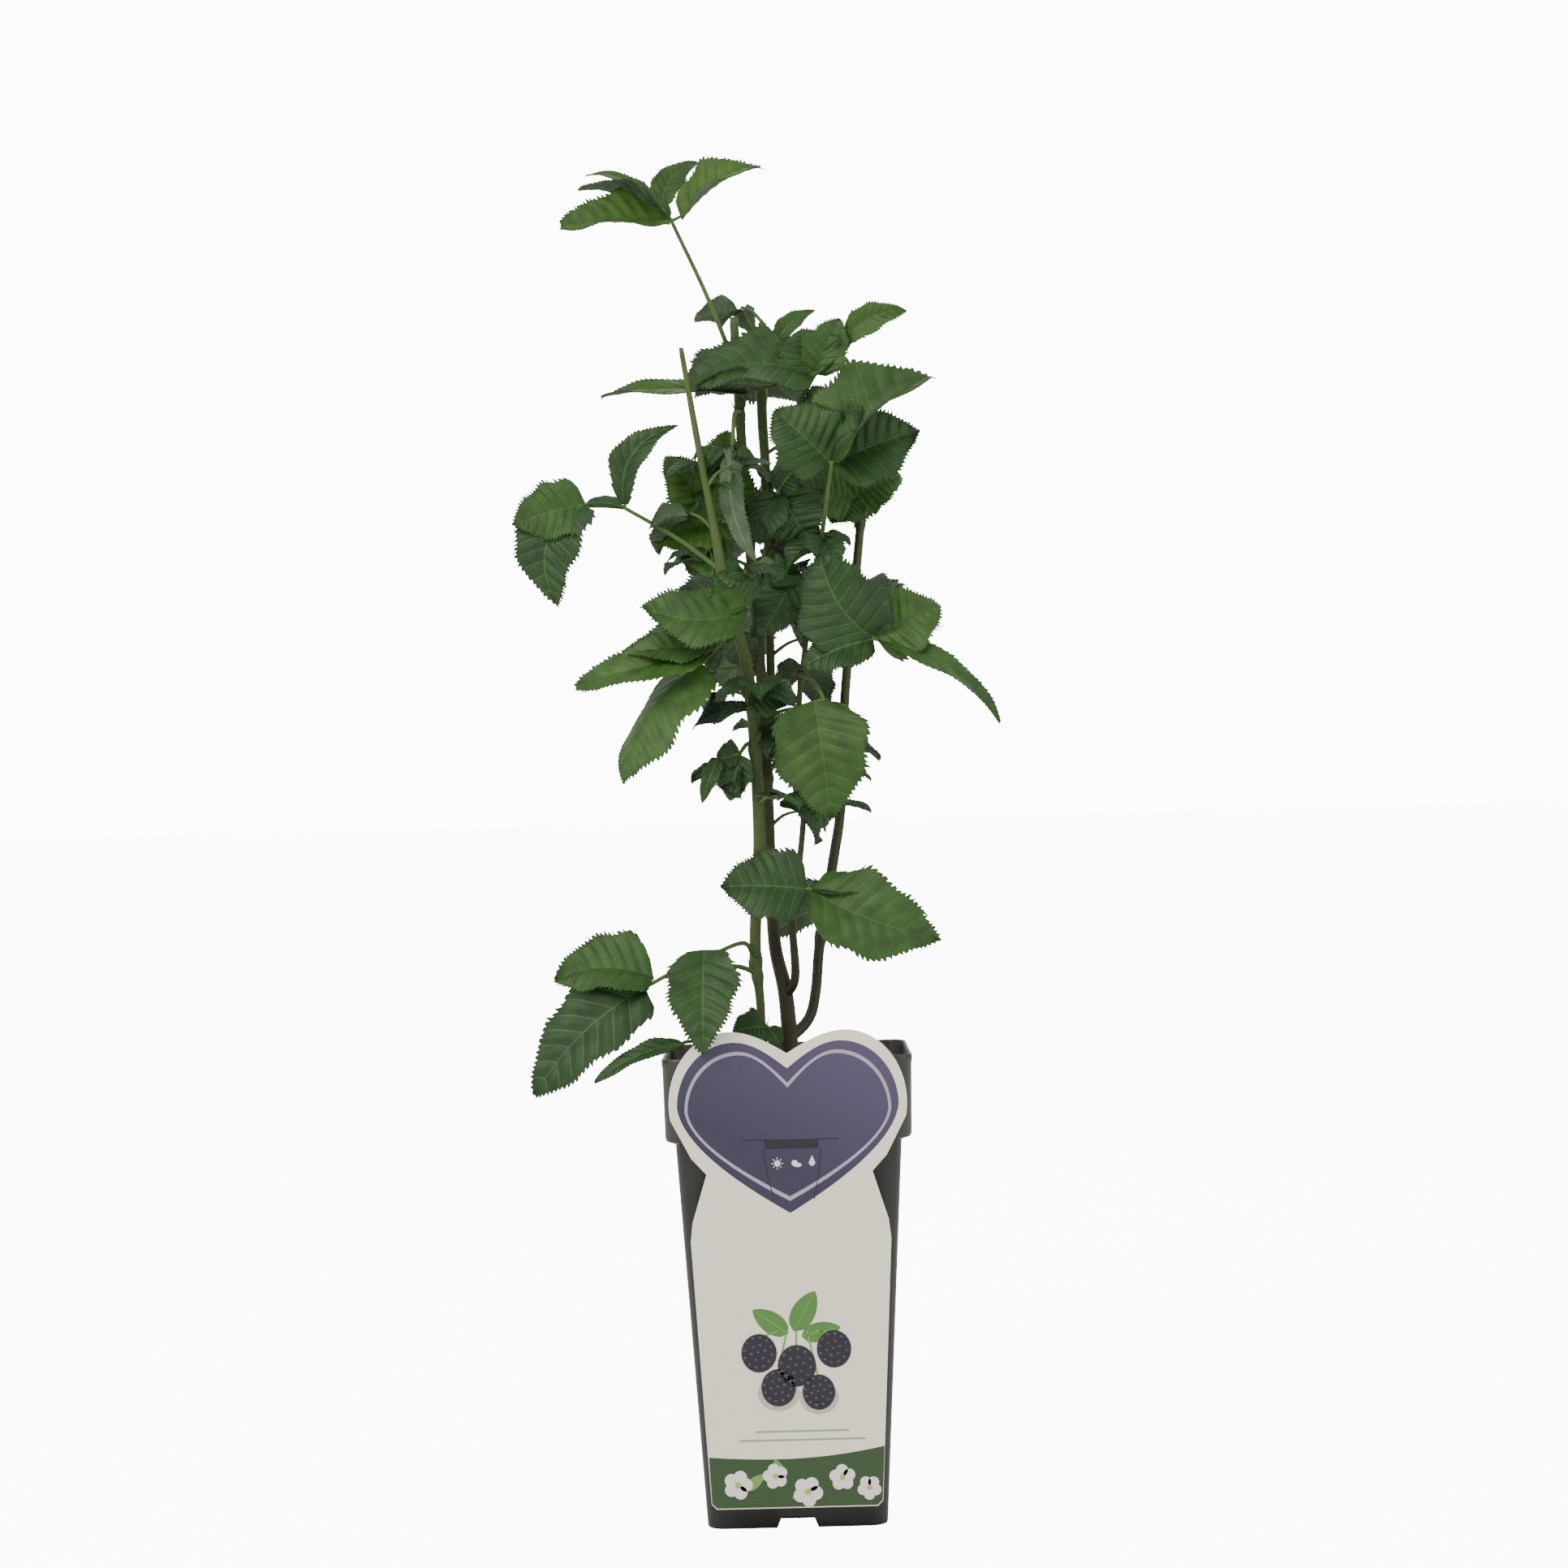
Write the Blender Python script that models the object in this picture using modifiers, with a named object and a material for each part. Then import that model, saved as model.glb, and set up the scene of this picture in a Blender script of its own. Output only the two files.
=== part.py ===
# Potted thornless bramble, 53 cm tall: a square nursery pot with its compost and care card,
# five canes, and one stalk and one closed mass for each compound leaf.
# World: metres, +Z up, the viewer stands at -Y. The tables below are in millimetres.

import math

import bmesh
import bpy
from mathutils import Vector

MM = 0.001
GAP = 0.3                      # clearance between touching pieces

# Pot, a deep square container with a stepped collar
POT_HEIGHT = 178.0
POT_WALL = 1.3
FOOT_HALF = 34.0               # half width on the ground
BODY_TOP_HALF = 42.5           # half width right under the collar
COLLAR_FOOT = 147.0            # height of the collar's lower edge
COLLAR_FOOT_HALF = 46.25
COLLAR_TOP_HALF = 47.0
CORNER = 7.0                   # radius of the upright edges
FLOOR = 6.0                    # moulded floor over the ground
CHANNEL_HEIGHT = 4.4           # drainage channels under the floor
CHANNEL_HALF_LOW = 8.2
CHANNEL_HALF_HIGH = 6.0
CHANNEL_LENGTH = 21.0
DRAIN_RADIUS = 4.0
DRAIN_OFFSET = 22.0
COMPOST_TOP = 163.0

# Care card hooked over the rim
CARD_THICK = 0.5
CARD_FRONT = -47.9             # y of its printed face
HEART_HALF = 44.5
HEART_MID = 161.0              # height where the heart is widest
LOBE_TOP = 188.0
NOTCH_TOP = 179.6
WAIST_HALF = 31.0
WAIST_HEIGHT = 135.0
SHOULDER_HALF = 37.4
SHOULDER_HEIGHT = 110.0
CARD_FOOT_HALF = 32.0
CARD_FOOT = 10.0
HOOK_HALF = 10.0
HOOK_DROP = 10.0

# Foliage masses
BLADE_THICK = 3.6
VOXEL = 1.5
MASS_FACES = 176               # triangles of one mass, about
HUB_RADIUS = 2.6               # knot where the leaflets meet
STALK_SIDES = 6
SHORT_STALK = 18.0             # a joint nearer to its cane sits on a stub of its own mass
STUB_RADIUS = 1.7

GREEN = (0.030, 0.085, 0.022)
DARK_GREEN = (0.016, 0.055, 0.022)
BRIGHT_GREEN = (0.060, 0.140, 0.025)
PALE_GREEN = (0.110, 0.170, 0.080)
STALK_GREEN = (0.075, 0.130, 0.035)
WOOD_BROWN = (0.060, 0.050, 0.028)

# Canes: (x, y, z, radius) from the foot up; the root is what a side cane grows from
CANES = {
    "cane_middle": {"root": None, "colour": WOOD_BROWN, "points": [
        (1.5, 4, 163.3, 3.6), (1.5, 4, 178, 3.2), (0, 4, 200, 2.9), (-3.5, 5, 218, 2.5),
        (-4.5, 6, 245, 2.3), (-5, 6, 280, 2.2), (-6, 6, 316, 2.1), (-9, 6, 364, 2.0),
        (-12, 6, 420, 1.9), (-13.5, 6, 460.5, 1.7)]},
    "cane_left": {"root": None, "colour": STALK_GREEN, "points": [
        (-9.5, -6, 163.3, 1.9), (-9.5, -6, 194, 1.7), (-11, -6, 220, 2.2), (-8.5, -8, 262, 2.3),
        (-10.5, -14, 316, 2.3), (-16, -20, 344, 2.3), (-20, -24, 362, 2.2), (-24, -25, 386, 1.5),
        (-28, -25, 410, 1.3), (-33.5, -25, 446, 1.0)]},
    "cane_upright": {"root": "cane_middle", "colour": STALK_GREEN, "points": [
        (-5, 6, 286, 1.7), (-3, 11, 302, 1.7), (-2.5, 11, 345, 1.7), (-2.5, 10, 395, 1.8),
        (-3.5, 9, 426, 2.0), (-2.5, 9, 458.5, 1.7)]},
    "cane_thin": {"root": "cane_middle", "colour": WOOD_BROWN, "points": [
        (0, 4, 198, 1.8), (4, -1, 206, 1.7), (3.5, -3, 228, 1.4), (6.5, 0, 248, 1.2),
        (9, 2, 274, 1.1), (8, 2, 308, 1.1), (10, 2, 326, 1.1), (13, 2, 345, 1.0), (18, 1, 371, 1.0)]},
    "cane_right": {"root": "cane_middle", "colour": WOOD_BROWN, "points": [
        (1.5, 4, 182, 2.2), (9, 12, 189, 2.1), (12, 16, 200, 2.0), (14, 17, 218, 2.0),
        (20, 17, 250, 2.0), (23.5, 17, 272, 1.9), (26, 17, 313, 1.8), (30, 17, 348, 1.8),
        (33, 16, 374, 1.7), (35, 15, 392, 1.5)]},
}


# One leaflet: where its midrib starts and ends, measured from the leaf's joint, the blade's
# width, the way its upper face looks (turn 0 is the viewer, 90 the right; lift 90 is the sky),
# the fold of its halves in degrees, the arch of its midrib and its sideways bow as shares
# of the length.
def blade(tip, width, turn, lift, fold=15, arch=0.08, start=(0, 0, 0), bow=0.0):
    return {"tip": tip, "width": width, "turn": turn, "lift": lift,
            "fold": fold, "arch": arch, "start": start, "bow": bow}


# One compound leaf: its cane, the height it leaves the cane at, the bends of its stalk,
# the joint of its leaflets and the leaflets.
LEAVES = {
    "top": {"cane": "cane_middle", "height": 440, "bends": [(-23.3, 3, 468)],
            "joint": (-36.5, 0, 497.5), "colour": BRIGHT_GREEN, "blades": [
                blade((-42, -8, 1.5), 28, 0, 62, 20, 0.0),
                blade((32.5, -6, 22), 24, -30, 52, 25, 0.04, (3, 0, 1), -0.06),
                blade((10, 18, 27), 12, 0, 40, 10, 0.04, (-4, 6, 6), -0.12),
                blade((-32, 24, 26), 8, 0, 80, 15),
                blade((-33.5, 12, 18), 22, 180, 66, 8)]},
    "upper": {"cane": "cane_upright", "height": 388, "bends": [(8, 2, 420)],
              "joint": (17, -8, 436), "colour": GREEN, "blades": [
                  blade((-49, -10, 1), 34, 0, 50, 8, 0.08, (0, 0, 0), 0.05),
                  blade((-82, 2, -3), 17, 0, 60, 12, 0.02, (-25, 0, -6)),
                  blade((-49, -9, -4), 15, 180, 60, 8, 0.05, (-18, -6, -3)),
                  blade((36, 4, 24.5), 12, 0, 5, 15, 0.05, (12, 4, 14), -0.12),
                  blade((17, 4, 17), 8, -10, 50, 20, 0.0),
                  blade((1, 16, 27.5), 8, 0, 20, 20, 0.05, (-15, 9, 12), -0.10),
                  blade((-5, 5, 19), 24, 0, 20, 12),
                  blade((10, 2, 22), 18, 10, 20, 12)]},
    "upper_right": {"cane": "cane_thin", "height": 362, "bends": [(19.5, -13, 382)],
                    "joint": (22.5, -20, 401), "colour": GREEN, "blades": [
                        blade((36, -8, 34), 36, -35, 30, 38),
                        blade((33, -4, 12), 30, 10, 18, 10),
                        blade((-21, -2, 21), 30, -5, 12, 8),
                        blade((-6, 6, 31), 24, -10, 10, 10)]},
    "upper_right_back": {"cane": "cane_right", "height": 388, "bends": [],
                         "joint": (31, 6, 390), "colour": GREEN, "blades": [
                             blade((18, -3, 8), 22, 0, 20, 10),
                             blade((-19, -1, 3), 26, 0, 25, 10),
                             blade((-9, -3, -9), 20, 0, 30, 10)]},
    "left_hanging": {"cane": "cane_left", "height": 361, "bends": [(-36, -16, 374)],
                     "joint": (-57, -12, 387), "colour": GREEN, "blades": [
                         blade((-26, -6, -37), 26, -10, 12, 6, 0.12, (-15, 0, 2), 0.22),
                         blade((-42, -5, -5), 24, 0, 16, 6, 0.05, (-14, 0, 2)),
                         blade((21, -2, 31), 14, -20, 10, 18, 0.05, (0, 0, 0), -0.22),
                         blade((-15, 0, 2), 6, 0, 40, 30)]},
    "left_mid": {"cane": "cane_middle", "height": 382, "bends": [],
                 "joint": (-21, 1, 382), "colour": BRIGHT_GREEN, "blades": [
                     blade((-20, -2, 25), 22, -10, 15, 8),
                     blade((-25, -6, -8), 28, -5, 20, 8),
                     blade((4, 2, 35), 24, 10, 12, 8),
                     blade((-12, -3, -20), 22, 0, 20, 8)]},
    "pale_narrow": {"cane": "cane_middle", "height": 424, "bends": [(-14, -14, 421)],
                    "joint": (-15, -22, 408), "colour": PALE_GREEN, "blades": [
                        blade((9, -3, -44), 9.5, 170, 10, 12, 0.05, (0, 0, 0), -0.12)]},
    "centre": {"cane": "cane_upright", "height": 398, "bends": [],
               "joint": (2, -9, 392), "colour": DARK_GREEN, "blades": [
                   blade((12, 0, -21), 25, 0, 8, 6),
                   blade((-8, -1, -20), 16, -10, 15, 8),
                   blade((8, -4, 10), 14, 0, 30, 8)]},
    "centre_low": {"cane": "cane_upright", "height": 366, "bends": [],
                   "joint": (9, -13, 362), "colour": DARK_GREEN, "blades": [
                       blade((-15, -5, -26), 20, 30, 25, -25),
                       blade((-10, -6, -5), 16, 0, 20, 8)]},
    "mid_left": {"cane": "cane_middle", "height": 352, "bends": [(-9, -8, 352)],
                 "joint": (-10, -30, 347), "colour": GREEN, "blades": [
                     blade((-40, -6, 3), 25, 0, 30, 8, 0.06, (0, 0, 0), -0.20),
                     blade((-12, 1, 13), 22, 0, 25, 8)]},
    "low_hanging": {"cane": "cane_middle", "height": 336, "bends": [(-14, -4, 338)],
                    "joint": (-22, -24, 333), "colour": GREEN, "blades": [
                        blade((-37, 0, 0.5), 19, 0, 45, 15, 0.04, (0, 0, 0), -0.05),
                        blade((-56, 2, -9), 21, 0, 48, 12, 0.04, (0, 0, 0), -0.10),
                        blade((-38, -14, -50), 32, -40, 30, -25, 0.05, (-6, -2, -6), 0.12)]},
    "dark_cross": {"cane": "cane_left", "height": 312, "bends": [],
                   "joint": (-11, -26, 309), "colour": DARK_GREEN, "blades": [
                       blade((18, -2, 4), 16, 0, 50, 8),
                       blade((-22, 6, -6), 14, 0, 60, 8)]},
    "right_facing": {"cane": "cane_right", "height": 338, "bends": [(33, -8, 338)],
                     "joint": (37, -30, 334), "colour": GREEN, "blades": [
                         blade((-20, -6, 32), 36, -18, 12, 10, 0.10, (0, 0, 0), -0.10),
                         blade((25, -1, 12), 27, 10, 15, 8),
                         blade((-28, -4, -9), 20, 0, 25, 8),
                         blade((48, -12, -28), 13, 20, 45, 12, 0.10)]},
    "right_hanging": {"cane": "cane_thin", "height": 322, "bends": [(14, -22, 318)],
                      "joint": (17.5, -33, 311), "colour": BRIGHT_GREEN, "blades": [
                          blade((1.5, -5, -44), 36, 0, 8, 6, 0.10, (-4, 0, 1))]},
    "small_curled": {"cane": "cane_left", "height": 295, "bends": [],
                     "joint": (-15, -17, 292), "colour": DARK_GREEN, "blades": [
                         blade((-15, -3, -18), 7, 0, 15, 20, 0.15, (-8, 0, -1)),
                         blade((-9, 2, -1), 11, 0, 20, 8),
                         blade((-4.5, 1, -18), 14, 0, 15, 8)]},
    "low_pair": {"cane": "cane_thin", "height": 243, "bends": [],
                 "joint": (10, -22, 240), "colour": GREEN, "blades": [
                     blade((-33, -5, 2), 30, -5, 18, 8),
                     blade((49, -10, -18), 33, 0, 28, 8, 0.08, (0, 0, 0), 0.10),
                     blade((45, 2, -8), 16, 0, 72, 10, 0.05)]},
    "lower_left": {"cane": "cane_left", "height": 208, "bends": [(-20, -12, 211), (-40, -24, 210)],
                   "joint": (-52, -28, 205), "colour": GREEN, "blades": [
                       blade((-35, 2, 5), 28, -5, 45, 15, 0.04, (3, 2, 3), 0.10),
                     blade((-44, -6, -39), 31, -15, 20, 6, 0.05, (0, 0, 0), 0.05)]},
    "over_card": {"cane": "cane_left", "height": 214, "bends": [(-16, -20, 220)],
                  "joint": (-30, -36, 215), "colour": GREEN, "blades": [
                      blade((-1, -19, -33), 27, -5, 15, 8, 0.10, (0, 2, 4))]},
    "rim": {"cane": "cane_left", "height": 176, "bends": [(-24, -22, 184)],
            "joint": (-38, -37, 184), "colour": DARK_GREEN, "blades": [
                blade((-34.6, -6, -12.5), 9, 0, 55, 12, 0.07)]},
    "foot": {"cane": "cane_left", "height": 184, "bends": [],
             "joint": (-7, -20, 188), "colour": DARK_GREEN, "blades": [
                 blade((-13, -6, -1), 15, 0, 30, 8),
                 blade((5, -5, -7), 8, 0, 30, 8)]},
    "back_high": {"cane": "cane_upright", "height": 432, "bends": [(-6, 28, 446)],
                  "joint": (-10, 44, 443), "colour": GREEN, "blades": [
                      blade((-20, 26, -4), 28, 160, 60),
                      blade((22, 26, -8), 28, 200, 60),
                      blade((2, 46, -2), 34, 180, 55)]},
    "back_right": {"cane": "cane_right", "height": 382, "bends": [(35, 34, 398)],
                   "joint": (31, 46, 400), "colour": GREEN, "blades": [
                       blade((2, 46, -12), 34, 165, 40),
                       blade((13, 26, 10), 22, 150, 45),
                       blade((-26, 24, 2), 26, 190, 45)]},
    "back_left": {"cane": "cane_middle", "height": 376, "bends": [(-16, 28, 388)],
                  "joint": (-20, 46, 384), "colour": GREEN, "blades": [
                      blade((-4, 46, -20), 36, 190, 40),
                      blade((-14, 20, 18), 24, 180, 30),
                      blade((24, 26, -6), 28, 170, 45)]},
    "back_middle": {"cane": "cane_upright", "height": 350, "bends": [(-8, 32, 358)],
                    "joint": (-14, 44, 352), "colour": GREEN, "blades": [
                        blade((-4, 44, -32), 36, 185, 30),
                        blade((-26, 22, 2), 26, 200, 40),
                        blade((18, 24, 6), 26, 170, 40)]},
    "back_deep": {"cane": "cane_right", "height": 338, "bends": [(32, 36, 352)],
                  "joint": (30, 48, 356), "colour": GREEN, "blades": [
                      blade((4, 42, -20), 36, 170, 35),
                      blade((16, 20, -6), 24, 150, 40),
                      blade((-22, 20, -4), 28, 190, 35)]},
    "back_low": {"cane": "cane_middle", "height": 284, "bends": [(4, 26, 294)],
                 "joint": (14, 42, 296), "colour": GREEN, "blades": [
                     blade((4, 42, -28), 36, 180, 30),
                     blade((12, 24, 6), 24, 165, 40),
                     blade((-22, 22, 4), 26, 195, 40)]},
    "back_foot": {"cane": "cane_right", "height": 222, "bends": [(22, 34, 234)],
                  "joint": (26, 46, 232), "colour": GREEN, "blades": [
                      blade((10, 40, -20), 34, 170, 40),
                      blade((-30, 24, -8), 28, 195, 40)]},
}


def clear_scene():
    for item in list(bpy.data.objects):
        bpy.data.objects.remove(item, do_unlink=True)


def new_collection(name):
    group = bpy.data.collections.new(name)
    bpy.context.scene.collection.children.link(group)
    return group


def plain_material(name, colour, roughness):
    material = bpy.data.materials.new(name)
    material.use_nodes = True
    shader = material.node_tree.nodes["Principled BSDF"]
    shader.inputs["Base Color"].default_value = (*colour, 1.0)
    shader.inputs["Roughness"].default_value = roughness
    shader.inputs["Metallic"].default_value = 0.0
    return material


def add_object(name, data, group, material=None):
    item = bpy.data.objects.new(name, data)
    group.objects.link(item)
    if material:
        item.data.materials.append(material)
    return item


def add_cutter(name, data, group):
    item = add_object(name, data, group)
    item.hide_render = True
    item.display_type = "WIRE"
    return item


def add_boolean(item, cutter, operation="DIFFERENCE"):
    cut = item.modifiers.new("cut", "BOOLEAN")
    cut.operation = operation
    cut.object = cutter


def curve_to_mesh(curve_object, group):
    """Replace a curve object by a closed mesh object of the same name."""
    bpy.context.view_layer.update()
    graph = bpy.context.evaluated_depsgraph_get()
    mesh = bpy.data.meshes.new_from_object(curve_object.evaluated_get(graph))
    place = curve_object.matrix_world.copy()
    name = curve_object.name
    bpy.data.objects.remove(curve_object, do_unlink=True)
    weld = bmesh.new()
    weld.from_mesh(mesh)
    bmesh.ops.remove_doubles(weld, verts=weld.verts, dist=0.00001)
    bmesh.ops.recalc_face_normals(weld, faces=weld.faces)
    weld.to_mesh(mesh)
    weld.free()
    mesh.materials.clear()
    item = add_object(name, mesh, group)
    item.matrix_world = place
    return item


def square_ring(half, corner, height, steps=3):
    """A rounded square at a height, as points in turn."""
    points = []
    for quarter in range(4):
        turn = quarter * math.pi / 2
        for step in range(steps + 1):
            angle = turn + step * math.pi / 2 / steps
            middle_x = (half - corner) * (1 if quarter in (0, 3) else -1)
            middle_y = (half - corner) * (1 if quarter in (0, 1) else -1)
            points.append((middle_x + corner * math.cos(angle),
                           middle_y + corner * math.sin(angle), height))
    return points


def loft(name, rings):
    """A closed solid through rings of equal point count, capped at both ends."""
    shape = bmesh.new()
    loops = [[shape.verts.new(Vector(p) * MM) for p in ring] for ring in rings]
    count = len(loops[0])
    for low, high in zip(loops, loops[1:]):
        for i in range(count):
            j = (i + 1) % count
            shape.faces.new((low[i], low[j], high[j], high[i]))
    shape.faces.new(list(reversed(loops[0])))
    shape.faces.new(loops[-1])
    bmesh.ops.recalc_face_normals(shape, faces=shape.faces)
    mesh = bpy.data.meshes.new(name)
    shape.to_mesh(mesh)
    shape.free()
    return mesh


def body_half(height):
    """Outer half width of the pot's tapered body."""
    return FOOT_HALF + (BODY_TOP_HALF - FOOT_HALF) * height / (COLLAR_FOOT - 1.5)


def build_pot(parts, cutters):
    step = COLLAR_FOOT - 1.5
    inner = POT_WALL
    rings = [
        square_ring(FOOT_HALF - 1.0, CORNER - 1.0, 0),
        square_ring(body_half(1.0), CORNER, 1.0),
        square_ring(BODY_TOP_HALF, CORNER, step),
        square_ring(COLLAR_FOOT_HALF, CORNER, COLLAR_FOOT + 1.0),
        square_ring(COLLAR_TOP_HALF, CORNER, POT_HEIGHT),
        square_ring(COLLAR_TOP_HALF - inner, CORNER - inner, POT_HEIGHT),
        square_ring(COLLAR_FOOT_HALF - inner, CORNER - inner, COLLAR_FOOT + 2.2),
        square_ring(BODY_TOP_HALF - inner, CORNER - inner, step + 0.8),
        square_ring(body_half(FLOOR) - inner, CORNER - inner, FLOOR),
    ]
    pot = add_object("pot", loft("pot", rings), parts,
                     plain_material("black_plastic", (0.016, 0.021, 0.023), 0.45))
    for side in range(4):
        low, high = CHANNEL_HALF_LOW, CHANNEL_HALF_HIGH
        start = FOOT_HALF - CHANNEL_LENGTH
        section = [(-low, -1), (low, -1), (high, CHANNEL_HEIGHT), (-high, CHANNEL_HEIGHT)]
        near = [(start, y, z) for y, z in section]
        far = [(FOOT_HALF + 6, y, z) for y, z in section]
        channel = add_cutter(f"channel_{side}", loft(f"channel_{side}", [near, far]), cutters)
        channel.rotation_euler.z = side * math.pi / 2
        add_boolean(pot, channel)
    for x in (-DRAIN_OFFSET, DRAIN_OFFSET):
        for y in (-DRAIN_OFFSET, DRAIN_OFFSET):
            shape = bmesh.new()
            bmesh.ops.create_cone(shape, cap_ends=True, segments=12, radius1=DRAIN_RADIUS * MM,
                                  radius2=DRAIN_RADIUS * MM, depth=20 * MM)
            mesh = bpy.data.meshes.new("drain")
            shape.to_mesh(mesh)
            shape.free()
            drain = add_cutter("drain", mesh, cutters)
            drain.location = (x * MM, y * MM, 2 * MM)
            add_boolean(pot, drain)


def build_compost(parts):
    clear = POT_WALL + GAP
    low = FLOOR + GAP
    rings = [
        square_ring(body_half(low) - clear, CORNER - clear, low),
        square_ring(BODY_TOP_HALF - clear - 0.3, CORNER - clear, COLLAR_FOOT + 1.0),
        square_ring(COLLAR_FOOT_HALF - clear - 0.3, CORNER - clear, COLLAR_FOOT + 4.5),
        square_ring(COLLAR_FOOT_HALF - clear, CORNER - clear, COMPOST_TOP),
    ]
    add_object("compost", loft("compost", rings), parts,
               plain_material("peat_compost", (0.022, 0.015, 0.010), 0.95))


def card_outline():
    """Right half of the card from the notch down to the foot, then mirrored."""
    half = []
    lobe_middle = HEART_HALF / 2 - 0.5
    for i in range(5):                                     # from the notch up to the lobe's top
        t = i / 4
        x = lobe_middle * t
        half.append((x, NOTCH_TOP + (LOBE_TOP - NOTCH_TOP) * math.sin(t * math.pi / 2)))
    for i in range(1, 8):                                  # round the lobe to the widest point
        angle = math.pi / 2 * (1 - i / 7)
        half.append((lobe_middle + (HEART_HALF - lobe_middle) * math.cos(angle),
                     HEART_MID + (LOBE_TOP - HEART_MID) * math.sin(angle)))
    half.append((HEART_HALF * 0.955, HEART_MID - 10))
    half.append((WAIST_HALF + 5.5, WAIST_HEIGHT + 6))
    half.append((WAIST_HALF, WAIST_HEIGHT))
    half.append((SHOULDER_HALF - 0.8, SHOULDER_HEIGHT + 7))
    half.append((SHOULDER_HALF, SHOULDER_HEIGHT))
    half.append((CARD_FOOT_HALF, CARD_FOOT + 2))
    half.append((CARD_FOOT_HALF - 2, CARD_FOOT))
    left = [(-x, z) for x, z in reversed(half) if x > 0.01]
    return half + left


def build_card(parts, cutters):
    curve = bpy.data.curves.new("care_card", "CURVE")
    curve.dimensions = "2D"
    curve.fill_mode = "BOTH"
    curve.extrude = CARD_THICK / 2 * MM
    outline = card_outline()
    spline = curve.splines.new("POLY")
    spline.points.add(len(outline) - 1)
    for point, (x, z) in zip(spline.points, outline):
        point.co = (x * MM, z * MM, 0, 1)
    spline.use_cyclic_u = True
    holder = add_object("care_card", curve, parts)
    holder.rotation_euler.x = math.pi / 2
    holder.location.y = (CARD_FRONT + CARD_THICK / 2) * MM
    card = curve_to_mesh(holder, parts)
    card.data.materials.append(plain_material("printed_card", (0.66, 0.62, 0.54), 0.5))
    back = CARD_FRONT + CARD_THICK - 0.2
    low, high = POT_HEIGHT + GAP, POT_HEIGHT + GAP + CARD_THICK
    inside = -(COLLAR_TOP_HALF - POT_WALL) + GAP
    drop = POT_HEIGHT - HOOK_DROP
    hook = [(back, low), (inside, low), (inside, drop), (inside + 0.6, drop),
            (inside + 0.6, high), (back, high)]
    sides = [[(x, y, z) for y, z in hook] for x in (-HOOK_HALF, HOOK_HALF)]
    strap = add_cutter("card_hook", loft("card_hook", sides), cutters)
    add_boolean(card, strap, "UNION")


def smooth_path(points, steps):
    """Catmull-Rom points through the given ones; each has x, y, z and a radius."""
    knots = [Vector(p) for p in points]
    knots = [knots[0] * 2 - knots[1]] + knots + [knots[-1] * 2 - knots[-2]]
    path = []
    for a, b, c, d in zip(knots, knots[1:], knots[2:], knots[3:]):
        for i in range(steps):
            t = i / steps
            path.append(0.5 * (2 * b + (c - a) * t + (2 * a - 5 * b + 4 * c - d) * t * t
                               + (3 * b - a - 3 * c + d) * t ** 3))
    path.append(knots[-2])
    return path


def tube(name, path, group, sides, fatter=0.0):
    """A closed tapering tube along a path of (x, y, z, radius)."""
    curve = bpy.data.curves.new(name, "CURVE")
    curve.dimensions = "3D"
    curve.bevel_depth = MM
    curve.bevel_resolution = (sides - 4) // 2
    curve.use_fill_caps = True
    spline = curve.splines.new("POLY")
    spline.points.add(len(path) - 1)
    for point, (x, y, z, radius) in zip(spline.points, path):
        point.co = (x * MM, y * MM, z * MM, 1)
        point.radius = radius + fatter
    return curve_to_mesh(add_object(name, curve, group), group)


def cane_path(name):
    return smooth_path([Vector(p) for p in CANES[name]["points"]], 2)


def cane_at(name, height):
    """Centre of a cane at a height."""
    path = cane_path(name)
    for low, high in zip(path, path[1:]):
        if low[2] <= height <= high[2]:
            return low.lerp(high, (height - low[2]) / (high[2] - low[2])).to_3d()
    return path[-1].to_3d()


def build_canes(parts, cutters):
    """The canes, and a fatter copy of each that cuts what grows from it."""
    fat = {}
    for name, cane in CANES.items():
        path = cane_path(name)
        item = tube(name, path, parts, 8)
        material = plain_material(f"{name}_bark", cane["colour"], 0.55)
        item.data.materials.append(material)
        copy = tube(f"{name}_cutter", path, cutters, 8, GAP)
        copy.hide_render = True
        copy.display_type = "WIRE"
        fat[name] = copy
        if cane["root"]:
            add_boolean(item, fat[cane["root"]])
    return fat


def stalk_path(leaf):
    """From the cane's axis over the bends to the joint, thinner towards the leaf."""
    start = cane_at(leaf["cane"], leaf["height"])
    points = [start] + [Vector(p) for p in leaf["bends"]] + [Vector(leaf["joint"])]
    if len(points) == 2:
        middle = (points[0] + points[1]) / 2 + Vector((0, 0, 2))
        points.insert(1, middle)
    count = len(points) - 1
    return smooth_path([(*p, 1.1 - 0.2 * i / count) for i, p in enumerate(points)], 3)


def facing(turn, lift):
    turn, lift = math.radians(turn), math.radians(lift)
    return Vector((math.sin(turn) * math.cos(lift), -math.cos(turn) * math.cos(lift),
                   math.sin(lift)))


def half_width(t):
    """Outline of an ovate leaflet with a pointed tip, 1 at its widest."""
    return 2.33 * t ** 0.48 * (1 - t) ** 0.8


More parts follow.
